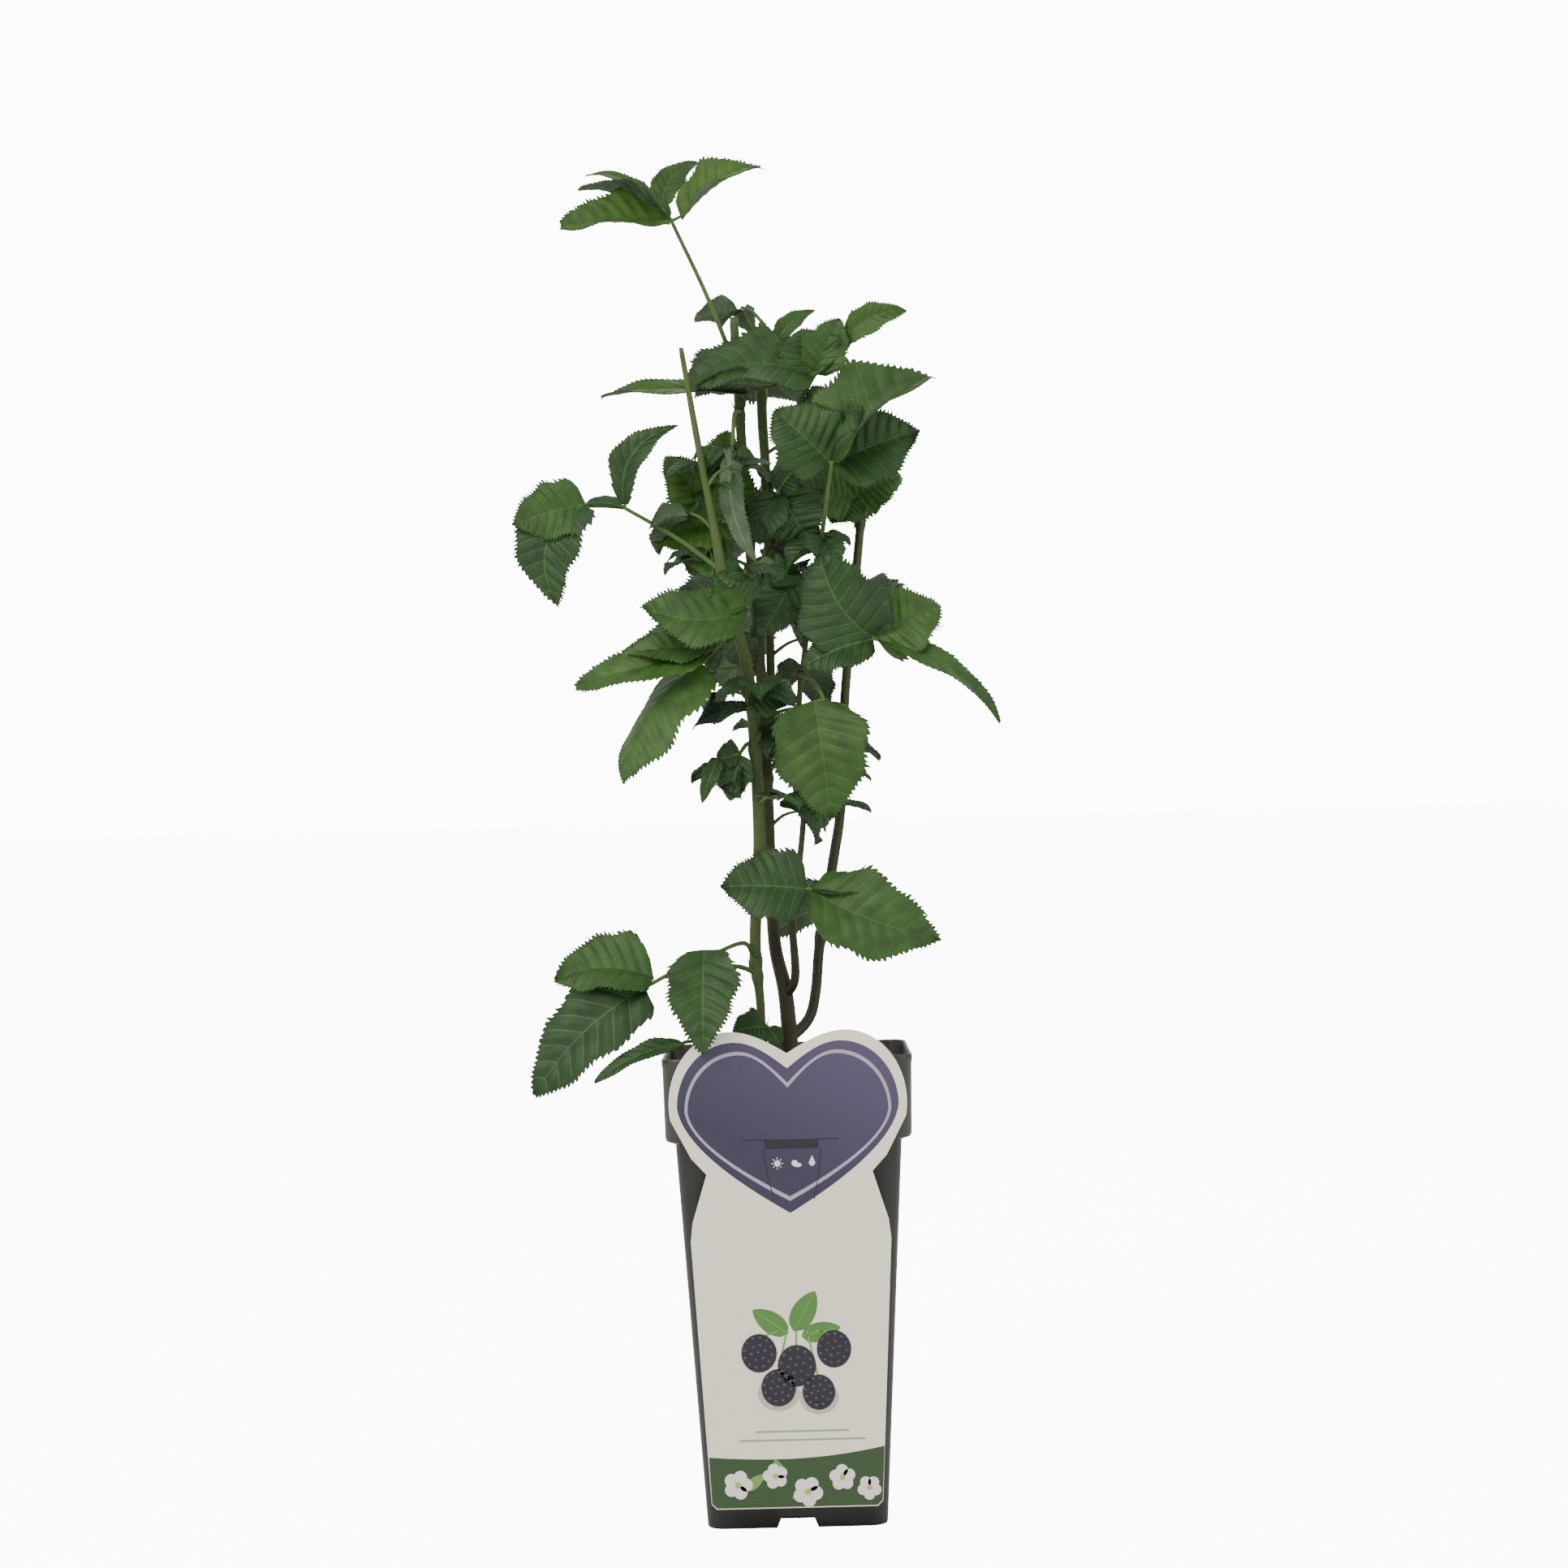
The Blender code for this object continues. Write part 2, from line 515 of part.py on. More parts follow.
def add_blade(shape, joint, data):
    """One leaflet as a folded, arched sheet."""
    root = joint + Vector(data["start"])
    tip = joint + Vector(data["tip"])
    along = tip - root
    length = along.length
    along = along.normalized()
    normal = facing(data["turn"], data["lift"])
    normal = (normal - along * normal.dot(along)).normalized()
    side = along.cross(normal)
    columns, rows = 6, 2
    grid = bmesh.ops.create_grid(shape, x_segments=columns, y_segments=rows, size=0.5)
    slope = math.tan(math.radians(data["fold"]))
    for vert in grid["verts"]:
        t = min(max(vert.co.x + 0.5, 0.03), 0.97)
        across = vert.co.y * 2 * half_width(t) * data["width"] / 2
        hump = 4 * t * (1 - t) * length
        rise = abs(across) * slope + data["arch"] * hump
        place = root + along * (t * length) + side * (across + data["bow"] * hump) + normal * rise
        vert.co = place * MM


def mass_mesh(name, leaf):
    shape = bmesh.new()
    joint = Vector(leaf["joint"])
    for data in leaf["blades"]:
        add_blade(shape, joint, data)
    mesh = bpy.data.meshes.new(name)
    shape.to_mesh(mesh)
    shape.free()
    return mesh


def freeze(item):
    """Apply an object's modifiers."""
    bpy.context.view_layer.update()
    graph = bpy.context.evaluated_depsgraph_get()
    mesh = bpy.data.meshes.new_from_object(item.evaluated_get(graph))
    item.modifiers.clear()
    item.data = mesh


def build_stalk(name, leaf, parts, cutters, fat):
    """The leaf's stalk, and the fatter copy that makes its socket in the mass."""
    path = stalk_path(leaf)
    stalk = tube(f"stalk_{name}", path, parts, STALK_SIDES)
    stalk.data.materials.append(plain_material(f"stalk_{name}_skin", STALK_GREEN, 0.6))
    add_boolean(stalk, fat[leaf["cane"]])
    cutter = tube(f"stalk_{name}_cutter", path, cutters, STALK_SIDES, GAP)
    cutter.hide_render = True
    cutter.display_type = "WIRE"
    return cutter


def add_knot(mass, leaf, root):
    """A small ball where the leaflets meet, and a stub to the cane where there is no stalk."""
    knot = bmesh.new()
    knot.from_mesh(mass.data)
    joint = Vector(leaf["joint"])
    hub = bmesh.ops.create_icosphere(knot, subdivisions=2, radius=HUB_RADIUS * MM)
    bmesh.ops.translate(knot, verts=hub["verts"], vec=joint * MM)
    if root:
        reach = root - joint
        stub = bmesh.ops.create_cone(knot, cap_ends=True, segments=10, depth=reach.length * MM,
                                     radius1=STUB_RADIUS * MM, radius2=STUB_RADIUS * MM)
        turn = reach.to_track_quat("Z", "Y").to_matrix()
        bmesh.ops.rotate(knot, verts=stub["verts"], matrix=turn)
        bmesh.ops.translate(knot, verts=stub["verts"], vec=(joint + reach / 2) * MM)
    knot.to_mesh(mass.data)
    knot.free()


def build_leaves(parts, cutters, fat):
    for name, leaf in LEAVES.items():
        root = cane_at(leaf["cane"], leaf["height"])
        short = (root - Vector(leaf["joint"])).length < SHORT_STALK
        if short:
            cutter = fat[leaf["cane"]]
        else:
            cutter = build_stalk(name, leaf, parts, cutters, fat)
        mass = add_object(f"leaf_{name}", mass_mesh(f"leaf_{name}", leaf), parts,
                          plain_material(f"leaf_{name}_green", leaf["colour"], 0.6))
        thick = mass.modifiers.new("thick", "SOLIDIFY")
        thick.thickness = BLADE_THICK * MM
        thick.offset = 0
        freeze(mass)
        add_knot(mass, leaf, root if short else None)
        skin = mass.modifiers.new("skin", "REMESH")
        skin.mode = "VOXEL"
        skin.voxel_size = VOXEL * MM
        freeze(mass)
        thin = mass.modifiers.new("thin", "DECIMATE")
        thin.ratio = MASS_FACES / (2 * len(mass.data.polygons))
        add_boolean(mass, cutter)


def main():
    clear_scene()
    parts = new_collection("potted_bramble")
    cutters = new_collection("cutters")
    build_pot(parts, cutters)
    build_compost(parts)
    build_card(parts, cutters)
    fat = build_canes(parts, cutters)
    build_leaves(parts, cutters, fat)


main()
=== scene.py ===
# Potted thornless bramble: the looks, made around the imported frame.
# Numbers in the dictionaries are millimetres and degrees; meshes are made in metres.
import math
import random

import bmesh
import bpy
import numpy as np
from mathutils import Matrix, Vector, noise


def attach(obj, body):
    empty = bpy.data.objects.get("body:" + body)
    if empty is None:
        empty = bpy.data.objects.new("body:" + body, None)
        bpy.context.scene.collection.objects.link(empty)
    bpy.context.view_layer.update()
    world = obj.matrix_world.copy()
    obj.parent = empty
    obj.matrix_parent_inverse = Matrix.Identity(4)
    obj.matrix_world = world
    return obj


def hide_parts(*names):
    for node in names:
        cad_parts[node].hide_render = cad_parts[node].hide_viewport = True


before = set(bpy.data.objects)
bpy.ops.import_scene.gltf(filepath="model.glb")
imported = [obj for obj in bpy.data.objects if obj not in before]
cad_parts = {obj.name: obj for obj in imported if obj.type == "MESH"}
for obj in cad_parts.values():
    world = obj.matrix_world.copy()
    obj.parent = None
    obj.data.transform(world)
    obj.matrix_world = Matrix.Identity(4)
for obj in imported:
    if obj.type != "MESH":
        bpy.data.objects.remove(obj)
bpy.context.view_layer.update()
mm = 0.001
print("frame loaded,", len(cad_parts), "nodes")


def linearColour(hexText):      # an sRGB hex value as linear RGBA
    parts = [int(hexText[i:i + 2], 16) / 255 for i in (1, 3, 5)]
    return [p / 12.92 if p <= 0.04045 else ((p + 0.055) / 1.055) ** 2.4 for p in parts] + [1.0]


def addNode(tree, kind, settings=None, values=None, links=None):
    node = tree.nodes.new(kind)
    for key, value in (settings or {}).items():
        setattr(node, key, value)
    for key, value in (values or {}).items():
        node.inputs[key].default_value = value
    for key, source in (links or {}).items():
        tree.links.new(source, node.inputs[key])
    return node


def startMaterial(name, values):
    material = bpy.data.materials.new(name)
    material.use_nodes = True
    tree = material.node_tree
    tree.nodes.clear()
    shader = addNode(tree, "ShaderNodeBsdfPrincipled", values=values)
    addNode(tree, "ShaderNodeOutputMaterial", links={"Surface": shader.outputs[0]})
    addNode(tree, "ShaderNodeTexCoord")
    return material, tree, shader


def objectPlace(tree):          # Object coordinates, metres
    return tree.nodes["Texture Coordinate"].outputs["Object"]


def noiseNode(tree, across, detail):        # noise with features about so many millimetres across
    return addNode(tree, "ShaderNodeTexNoise", values={"Scale": 1 / (across * mm), "Detail": detail},
                   links={"Vector": objectPlace(tree)})


def colourRamp(tree, share, colours, places=(0.0, 1.0)):
    ramp = addNode(tree, "ShaderNodeValToRGB", links={"Fac": share})
    for element, colour, place in zip(ramp.color_ramp.elements, colours, places):
        element.color = linearColour(colour)
        element.position = place
    return ramp.outputs["Color"]


def heightShare(tree, low, high, start=0.0, end=1.0):       # start at the low height, end above
    split = addNode(tree, "ShaderNodeSeparateXYZ", links={"Vector": objectPlace(tree)})
    share = addNode(tree, "ShaderNodeMapRange", links={"Value": split.outputs["Z"]},
                    values={"From Min": low * mm, "From Max": high * mm,
                            "To Min": start, "To Max": end})
    return share.outputs["Result"]


def blendIn(tree, share, values=None, links=None):     # input 7 over the material's own colour
    base = tree.nodes["Principled BSDF"].inputs["Base Color"]
    mix = addNode(tree, "ShaderNodeMix", {"data_type": "RGBA"}, values,
                  {0: share, 6: base.links[0].from_socket, **(links or {})})
    tree.links.new(mix.outputs[2], base)


# Patches of two colours, a few millimetres across, and a fine bump: most surfaces here start so
def mottledMaterial(name, colours, patch, roughness, bump, grain, specular=0.4):
    material, tree, shader = startMaterial(
        name, {"Roughness": roughness, "Specular IOR Level": specular})
    patches = noiseNode(tree, patch, 4.0)
    tone = colourRamp(tree, patches.outputs["Fac"], colours, (0.32, 0.68))
    tree.links.new(tone, shader.inputs["Base Color"])
    relief = addNode(tree, "ShaderNodeBump", values={"Strength": 0.6, "Distance": bump * mm},
                     links={"Height": noiseNode(tree, grain, 3.0).outputs["Fac"]})
    tree.links.new(relief.outputs["Normal"], shader.inputs["Normal"])
    return material


def linkObject(name, data):
    item = bpy.data.objects.new(name, data)
    bpy.context.scene.collection.objects.link(item)
    return item


def addPiece(name, shapes, materials, slots=None, smooth=True):      # shapes in millimetres
    verts, faces, offset = [], [], 0
    for corners, sides in shapes:
        verts.append(corners)
        faces += [tuple(i + offset for i in side) for side in sides]
        offset += len(corners)
    mesh = bpy.data.meshes.new(name)
    mesh.from_pydata((np.concatenate(verts) * mm).tolist(), [], faces)
    for material in materials:
        mesh.materials.append(material)
    if slots is not None:
        mesh.polygons.foreach_set("material_index", np.asarray(slots, dtype=np.int32))
    mesh.polygons.foreach_set("use_smooth", [smooth] * len(mesh.polygons))
    mesh.update()
    piece = linkObject(name, mesh)
    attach(piece, "root")
    return piece


def bakeObject(piece):          # modifiers applied, the object stays
    bpy.context.view_layer.update()
    graph = bpy.context.evaluated_depsgraph_get()
    mesh = bpy.data.meshes.new_from_object(piece.evaluated_get(graph))
    piece.modifiers.clear()
    piece.data = mesh


def outward(piece):             # doubles merged, faces turned outwards
    shape = bmesh.new()
    shape.from_mesh(piece.data)
    bmesh.ops.remove_doubles(shape, verts=shape.verts, dist=0.01 * mm)
    bmesh.ops.recalc_face_normals(shape, faces=shape.faces)
    shape.to_mesh(piece.data)
    shape.free()


def loftShape(rings):           # a closed solid through rings of one point count
    count = len(rings[0])
    faces = []
    for level in range(len(rings) - 1):
        for i in range(count):
            a, b = level * count + i, level * count + (i + 1) % count
            faces.append((a, b, b + count, a + count))
    faces.append(tuple(reversed(range(count))))
    faces.append(tuple(range((len(rings) - 1) * count, len(rings) * count)))
    return np.array([p for ring in rings for p in ring], dtype=float), faces


def smoothPath(points, steps):      # Catmull-Rom through points of any length
    knots = [np.array(p, dtype=float) for p in points]
    knots = [knots[0] * 2 - knots[1]] + knots + [knots[-1] * 2 - knots[-2]]
    path = []
    for a, b, c, d in zip(knots, knots[1:], knots[2:], knots[3:]):
        for i in range(steps):
            t = i / steps
            path.append(0.5 * (2 * b + (c - a) * t + (2 * a - 5 * b + 4 * c - d) * t * t
                               + (3 * b - a - 3 * c + d) * t ** 3))
    path.append(knots[-2])
    return np.array(path)


# A closed tube along x, y, z, radius, with ridges along it as a share of the radius
def tubeShape(path, sides, ridges=0.0, ridgeCount=5):
    centre, radius = path[:, :3], path[:, 3]
    ahead = np.gradient(centre, axis=0)
    ahead /= np.linalg.norm(ahead, axis=1)[:, None]
    side = np.cross(ahead[0], (0.3, 0.95, 0.1))
    rings = []
    for i, (c, r) in enumerate(zip(centre, radius)):
        side = side - ahead[i] * np.dot(side, ahead[i])
        side /= np.linalg.norm(side)
        other = np.cross(ahead[i], side)
        ring = []
        for k in range(sides):
            angle = 2 * math.pi * k / sides
            reach = r * (1 + ridges * math.cos(ridgeCount * angle))
            ring.append(c + reach * (side * math.cos(angle) + other * math.sin(angle)))
        rings.append(ring)
    return loftShape(rings)


def taperShape(points, steps, first, last, sides):      # a smooth tube that thins evenly
    way = smoothPath(points, steps)
    return tubeShape(np.column_stack([way, np.linspace(first, last, len(way))]), sides)


# Camera: level, 1.6 m in front of the pot, rolled as the photograph is
cameraSetup = {"place": (1.5, -1600, 280), "roll": 1.4, "lens": 95.55, "sensor": 36}


def buildCamera():
    lens = bpy.data.cameras.new("camera")
    lens.lens = cameraSetup["lens"]
    lens.sensor_width = cameraSetup["sensor"]
    camera = linkObject("camera", lens)
    camera.location = Vector(cameraSetup["place"]) * mm
    camera.rotation_euler = (math.pi / 2, math.radians(cameraSetup["roll"]), 0)
    bpy.context.scene.camera = camera


# Light: a bright even room, a large soft key from the upper left, and white behind it all
lampTable = {
    "key": {"place": (-900, -1300, 1500), "size": 1100, "power": 27, "colour": "#fff6e8"},
    "fill": {"place": (1300, -900, 700), "size": 1200, "power": 6, "colour": "#fdfcf8"},
    "back": {"place": (300, 1400, 1200), "size": 1200, "power": 9, "colour": "#fffdf6"},
}
roomSetup = {"aim": (0, 0, 260), "room": 0.85, "backdrop": 12.0, "floorGlow": 10.0,
             "floor": 30000}


def buildLights():
    for name, spec in lampTable.items():
        lamp = bpy.data.lights.new(name, "AREA")
        lamp.energy = spec["power"]
        lamp.size = spec["size"] * mm
        lamp.color = linearColour(spec["colour"])[:3]
        item = linkObject(name, lamp)
        item.location = Vector(spec["place"]) * mm
        aim = Vector(roomSetup["aim"]) * mm - item.location
        item.rotation_euler = aim.to_track_quat("-Z", "Y").to_euler()
    world = bpy.data.worlds.new("room")
    world.use_nodes = True
    tree = world.node_tree
    seen = addNode(tree, "ShaderNodeLightPath").outputs["Is Camera Ray"]
    strength = addNode(tree, "ShaderNodeMapRange", links={"Value": seen},
                       values={"To Min": roomSetup["room"], "To Max": roomSetup["backdrop"]})
    backdrop = tree.nodes["Background"]
    backdrop.inputs["Color"].default_value = linearColour("#ffffff")
    tree.links.new(strength.outputs["Result"], backdrop.inputs["Strength"])
    bpy.context.scene.world = world


# Matt white floor: for the camera alone it glows up to the white of the backdrop
def buildFloor():
    shape = bmesh.new()
    bmesh.ops.create_grid(shape, x_segments=1, y_segments=1, size=roomSetup["floor"] * mm)
    mesh = bpy.data.meshes.new("floor")
    shape.to_mesh(mesh)
    shape.free()
    floor = linkObject("floor", mesh)
    paint, tree, shader = startMaterial(
        "matt_white_floor", {"Base Color": linearColour("#f6f6f4"), "Roughness": 0.9,
                             "Emission Color": linearColour("#ffffff")})
    seen = addNode(tree, "ShaderNodeLightPath").outputs["Is Camera Ray"]
    glow = addNode(tree, "ShaderNodeMath", {"operation": "MULTIPLY"},
                   values={1: roomSetup["floorGlow"]}, links={0: seen})
    tree.links.new(glow.outputs["Value"], shader.inputs["Emission Strength"])
    mesh.materials.append(paint)


buildCamera()
buildLights()
buildFloor()
print("camera, lights and floor")


# Canes: x, y, z and radius from the foot up
caneTable = {
    "cane_middle": {"bark": "brown", "points": [
        (1.5, 4, 163.3, 3.6), (1.5, 4, 178, 3.2), (0, 4, 200, 2.9), (-3.5, 5, 218, 2.5),
        (-4.5, 6, 245, 2.3), (-5, 6, 280, 2.2), (-6, 6, 316, 2.1), (-9, 6, 364, 2.0),
        (-12, 6, 420, 1.9), (-13.5, 6, 460.5, 1.7)]},
    "cane_left": {"bark": "green", "points": [
        (-9.5, -6, 163.3, 1.9), (-9.5, -6, 194, 1.7), (-11, -6, 220, 2.2), (-8.5, -8, 262, 2.3),
        (-10.5, -14, 316, 2.3), (-16, -20, 344, 2.3), (-20, -24, 362, 2.2), (-24, -25, 386, 1.5),
        (-28, -25, 410, 1.3), (-33.5, -25, 446, 1.0)]},
    "cane_upright": {"bark": "green", "points": [
        (-5, 6, 286, 1.7), (-3, 11, 302, 1.7), (-2.5, 11, 345, 1.7), (-2.5, 10, 395, 1.8),
        (-3.5, 9, 426, 2.0), (-2.5, 9, 458.5, 1.7)]},
    "cane_thin": {"bark": "brown", "points": [
        (0, 4, 198, 1.8), (4, -1, 206, 1.7), (3.5, -3, 228, 1.4), (6.5, 0, 248, 1.2),
        (9, 2, 274, 1.1), (8, 2, 308, 1.1), (10, 2, 326, 1.1), (13, 2, 345, 1.0), (18, 1, 371, 1.0)]},
    "cane_right": {"bark": "brown", "points": [
        (1.5, 4, 182, 2.2), (9, 12, 189, 2.1), (12, 16, 200, 2.0), (14, 17, 218, 2.0),
        (20, 17, 250, 2.0), (23.5, 17, 272, 1.9), (26, 17, 313, 1.8), (30, 17, 348, 1.8),
        (33, 16, 374, 1.7), (35, 15, 392, 1.5)]},
}


# One leaflet: the end of its midrib from the leaf's joint, the blade's width, the way its upper
# face looks (turn 0 is the viewer, 90 the right; lift 90 is the sky), the fold of its halves,
# the arch of its midrib, where the midrib starts and its sideways bow as shares of its length
def leaflet(tip, width, turn, lift, fold=15, arch=0.08, start=(0, 0, 0), bow=0.0):
    return {"tip": tip, "width": width, "turn": turn, "lift": lift,
            "fold": fold, "arch": arch, "start": start, "bow": bow}


def compound(cane, height, bends, joint, tone, *blades):
    return {"cane": cane, "height": height, "bends": bends, "joint": joint, "tone": tone,
            "blades": blades}


# Compound leaves: the cane and the height they leave it at, the bends of the stalk, the joint
# of the leaflets, the green and the leaflets
leafTable = {
    "top": compound(
        "cane_middle", 440, [(-23.3, 3, 468)], (-36.5, 0, 497.5), "fresh",
        leaflet((-42, -8, 1.5), 28, 0, 62, 20, 0.0),
        leaflet((32.5, -6, 22), 24, -30, 52, 25, 0.04, (3, 0, 1), -0.06),
        leaflet((10, 18, 27), 12, 0, 40, 10, 0.04, (-4, 6, 6), -0.12),
        leaflet((-32, 24, 26), 8, 0, 80, 15),
        leaflet((-33.5, 12, 18), 22, 180, 66, 8)),
    "upper": compound(
        "cane_upright", 388, [(8, 2, 420)], (17, -8, 436), "mid",
        leaflet((-49, -10, 1), 34, 0, 50, 8, bow=0.05),
        leaflet((-82, 2, -3), 17, 0, 60, 12, 0.02, (-25, 0, -6)),
        leaflet((-49, -9, -4), 15, 180, 60, 8, 0.05, (-18, -6, -3)),
        leaflet((36, 4, 24.5), 12, 0, 5, 15, 0.05, (12, 4, 14), -0.12),
        leaflet((17, 4, 17), 8, -10, 50, 20, 0.0),
        leaflet((1, 16, 27.5), 8, 0, 20, 20, 0.05, (-15, 9, 12), -0.10),
        leaflet((-5, 5, 19), 24, 0, 20, 12),
        leaflet((10, 2, 22), 18, 10, 20, 12)),
    "upper_right": compound(
        "cane_thin", 362, [(19.5, -13, 382)], (22.5, -20, 401), "mid",
        leaflet((36, -8, 34), 36, -35, 30, 38),
        leaflet((33, -4, 12), 30, 10, 18, 10),
        leaflet((-21, -2, 21), 30, -5, 12, 8),
        leaflet((-6, 6, 31), 24, -10, 10, 10)),
    "upper_right_back": compound(
        "cane_right", 388, [], (31, 6, 390), "mid",
        leaflet((18, -3, 8), 22, 0, 20, 10),
        leaflet((-19, -1, 3), 26, 0, 25, 10),
        leaflet((-9, -3, -9), 20, 0, 30, 10)),
    "left_hanging": compound(
        "cane_left", 361, [(-36, -16, 374)], (-57, -12, 387), "mid",
        leaflet((-26, -6, -37), 26, -10, 12, 6, 0.12, (-15, 0, 2), 0.22),
        leaflet((-42, -5, -5), 24, 0, 16, 6, 0.05, (-14, 0, 2)),
        leaflet((21, -2, 31), 14, -20, 10, 18, 0.05, bow=-0.22),
        leaflet((-15, 0, 2), 6, 0, 40, 30)),
    "left_mid": compound(
        "cane_middle", 382, [], (-21, 1, 382), "fresh",
        leaflet((-20, -2, 25), 22, -10, 15, 8),
        leaflet((-25, -6, -8), 28, -5, 20, 8),
        leaflet((4, 2, 35), 24, 10, 12, 8),
        leaflet((-12, -3, -20), 22, 0, 20, 8)),
    "pale_narrow": compound(
        "cane_middle", 424, [(-14, -14, 421)], (-15, -22, 408), "pale",
        leaflet((9, -3, -44), 9.5, 170, 10, 12, 0.05, bow=-0.12)),
    "centre": compound(
        "cane_upright", 398, [], (2, -9, 392), "deep",
        leaflet((12, 0, -21), 25, 0, 8, 6),
        leaflet((-8, -1, -20), 16, -10, 15, 8),
        leaflet((8, -4, 10), 14, 0, 30, 8)),
    "centre_low": compound(
        "cane_upright", 366, [], (9, -13, 362), "deep",
        leaflet((-15, -5, -26), 20, 30, 25, -25),
        leaflet((-10, -6, -5), 16, 0, 20, 8)),
    "mid_left": compound(
        "cane_middle", 352, [(-9, -8, 352)], (-10, -30, 347), "mid",
        leaflet((-40, -6, 3), 25, 0, 30, 8, 0.06, bow=-0.20),
        leaflet((-12, 1, 13), 22, 0, 25, 8)),
    "low_hanging": compound(
        "cane_middle", 336, [(-14, -4, 338)], (-22, -24, 333), "mid",
        leaflet((-37, 0, 0.5), 19, 0, 45, 15, 0.04, bow=-0.05),
        leaflet((-56, 2, -9), 21, 0, 48, 12, 0.04, bow=-0.10),
        leaflet((-38, -14, -50), 32, -40, 30, -25, 0.05, (-6, -2, -6), 0.12)),
    "dark_cross": compound(
        "cane_left", 312, [], (-11, -26, 309), "deep",
        leaflet((18, -2, 4), 16, 0, 50, 8),
        leaflet((-22, 6, -6), 14, 0, 60, 8)),
    "right_facing": compound(
        "cane_right", 338, [(33, -8, 338)], (37, -30, 334), "mid",
        leaflet((-20, -6, 32), 36, -18, 12, 10, 0.10, bow=-0.10),
        leaflet((25, -1, 12), 27, 10, 15, 8),
        leaflet((-28, -4, -9), 20, 0, 25, 8),
        leaflet((48, -12, -28), 13, 20, 45, 12, 0.10)),
    "right_hanging": compound(
        "cane_thin", 322, [(14, -22, 318)], (17.5, -33, 311), "fresh",
        leaflet((1.5, -5, -44), 36, 0, 8, 6, 0.10, (-4, 0, 1))),
    "small_curled": compound(
        "cane_left", 295, [], (-15, -17, 292), "deep",
        leaflet((-15, -3, -18), 7, 0, 15, 20, 0.15, (-8, 0, -1)),
        leaflet((-9, 2, -1), 11, 0, 20, 8),
        leaflet((-4.5, 1, -18), 14, 0, 15, 8)),
    "low_pair": compound(
        "cane_thin", 243, [], (10, -22, 240), "mid",
        leaflet((-33, -5, 2), 30, -5, 18, 8),
        leaflet((49, -10, -18), 33, 0, 28, 8, bow=0.10),
        leaflet((45, 2, -8), 16, 0, 72, 10, 0.05)),
    "lower_left": compound(
        "cane_left", 208, [(-20, -12, 211), (-40, -24, 210)], (-52, -28, 205), "mid",
        leaflet((-35, 2, 5), 28, -5, 45, 15, 0.04, (3, 2, 3), 0.10),
        leaflet((-44, -6, -39), 31, -15, 20, 6, 0.05, bow=0.05)),
    "over_card": compound(
        "cane_left", 214, [(-16, -20, 220)], (-30, -36, 215), "mid",
        leaflet((-1, -19, -33), 27, -5, 15, 8, 0.10, (0, 2, 4))),
    "rim": compound(
        "cane_left", 176, [(-24, -22, 184)], (-38, -37, 184), "deep",
        leaflet((-34.6, -6, -12.5), 9, 0, 55, 12, 0.07)),
    "foot": compound(
        "cane_left", 184, [], (-7, -20, 188), "deep",
        leaflet((-13, -6, -1), 15, 0, 30, 8),
        leaflet((5, -5, -7), 8, 0, 30, 8)),
    "back_high": compound(
        "cane_upright", 432, [(-6, 28, 446)], (-10, 44, 443), "mid",
        leaflet((-20, 26, -4), 28, 160, 60),
        leaflet((22, 26, -8), 28, 200, 60),
        leaflet((2, 46, -2), 34, 180, 55)),
    "back_right": compound(
        "cane_right", 382, [(35, 34, 398)], (31, 46, 400), "mid",
        leaflet((2, 46, -12), 34, 165, 40),
        leaflet((13, 26, 10), 22, 150, 45),
        leaflet((-26, 24, 2), 26, 190, 45)),
    "back_left": compound(
        "cane_middle", 376, [(-16, 28, 388)], (-20, 46, 384), "mid",
        leaflet((-4, 46, -20), 36, 190, 40),
        leaflet((-14, 20, 18), 24, 180, 30),
        leaflet((24, 26, -6), 28, 170, 45)),
    "back_middle": compound(
        "cane_upright", 350, [(-8, 32, 358)], (-14, 44, 352), "mid",
        leaflet((-4, 44, -32), 36, 185, 30),
        leaflet((-26, 22, 2), 26, 200, 40),
        leaflet((18, 24, 6), 26, 170, 40)),
    "back_deep": compound(
        "cane_right", 338, [(32, 36, 352)], (30, 48, 356), "mid",
        leaflet((4, 42, -20), 36, 170, 35),
        leaflet((16, 20, -6), 24, 150, 40),
        leaflet((-22, 20, -4), 28, 190, 35)),
    "back_low": compound(
        "cane_middle", 284, [(4, 26, 294)], (14, 42, 296), "mid",
        leaflet((4, 42, -28), 36, 180, 30),
        leaflet((12, 24, 6), 24, 165, 40),
        leaflet((-22, 22, 4), 26, 195, 40)),
    "back_foot": compound(
        "cane_right", 222, [(22, 34, 234)], (26, 46, 232), "mid",
        leaflet((10, 40, -20), 34, 170, 40),
        leaflet((-30, 24, -8), 28, 195, 40)),
}


# Greens of the leaves: the blade's face, its sunk veins and its downy back
leafTones = {
    "mid": ["#305021", "#29461f", "#375823", "#254120"],
    "deep": ["#21401d", "#1d371d", "#284522"],
    "fresh": ["#35551c", "#304d1d", "#3c5e1e"],
    "pale": ["#43603a", "#3c5835"],
    "vein": ["#3a5c28"],
    "back": ["#4a5e46", "#43573f"],
    "backVein": ["#5c7053"],
}
leafRoughness = {"back": 0.75, "backVein": 0.7}     # 0.5 elsewhere


def shaded(hexText, share):
    parts = [int(hexText[i:i + 2], 16) for i in (1, 3, 5)]
    return "#" + "".join(f"{min(255, int(p * share)):02x}" for p in parts)


# Living leaf: a thin waxy skin over a quilted blade, matt with a soft gloss on the swellings
def leafMaterial(name, hexText, roughness):
    colours = (shaded(hexText, 0.88), shaded(hexText, 1.12))
    return mottledMaterial(name, colours, 7, roughness, 0.25, 0.9, 0.3)


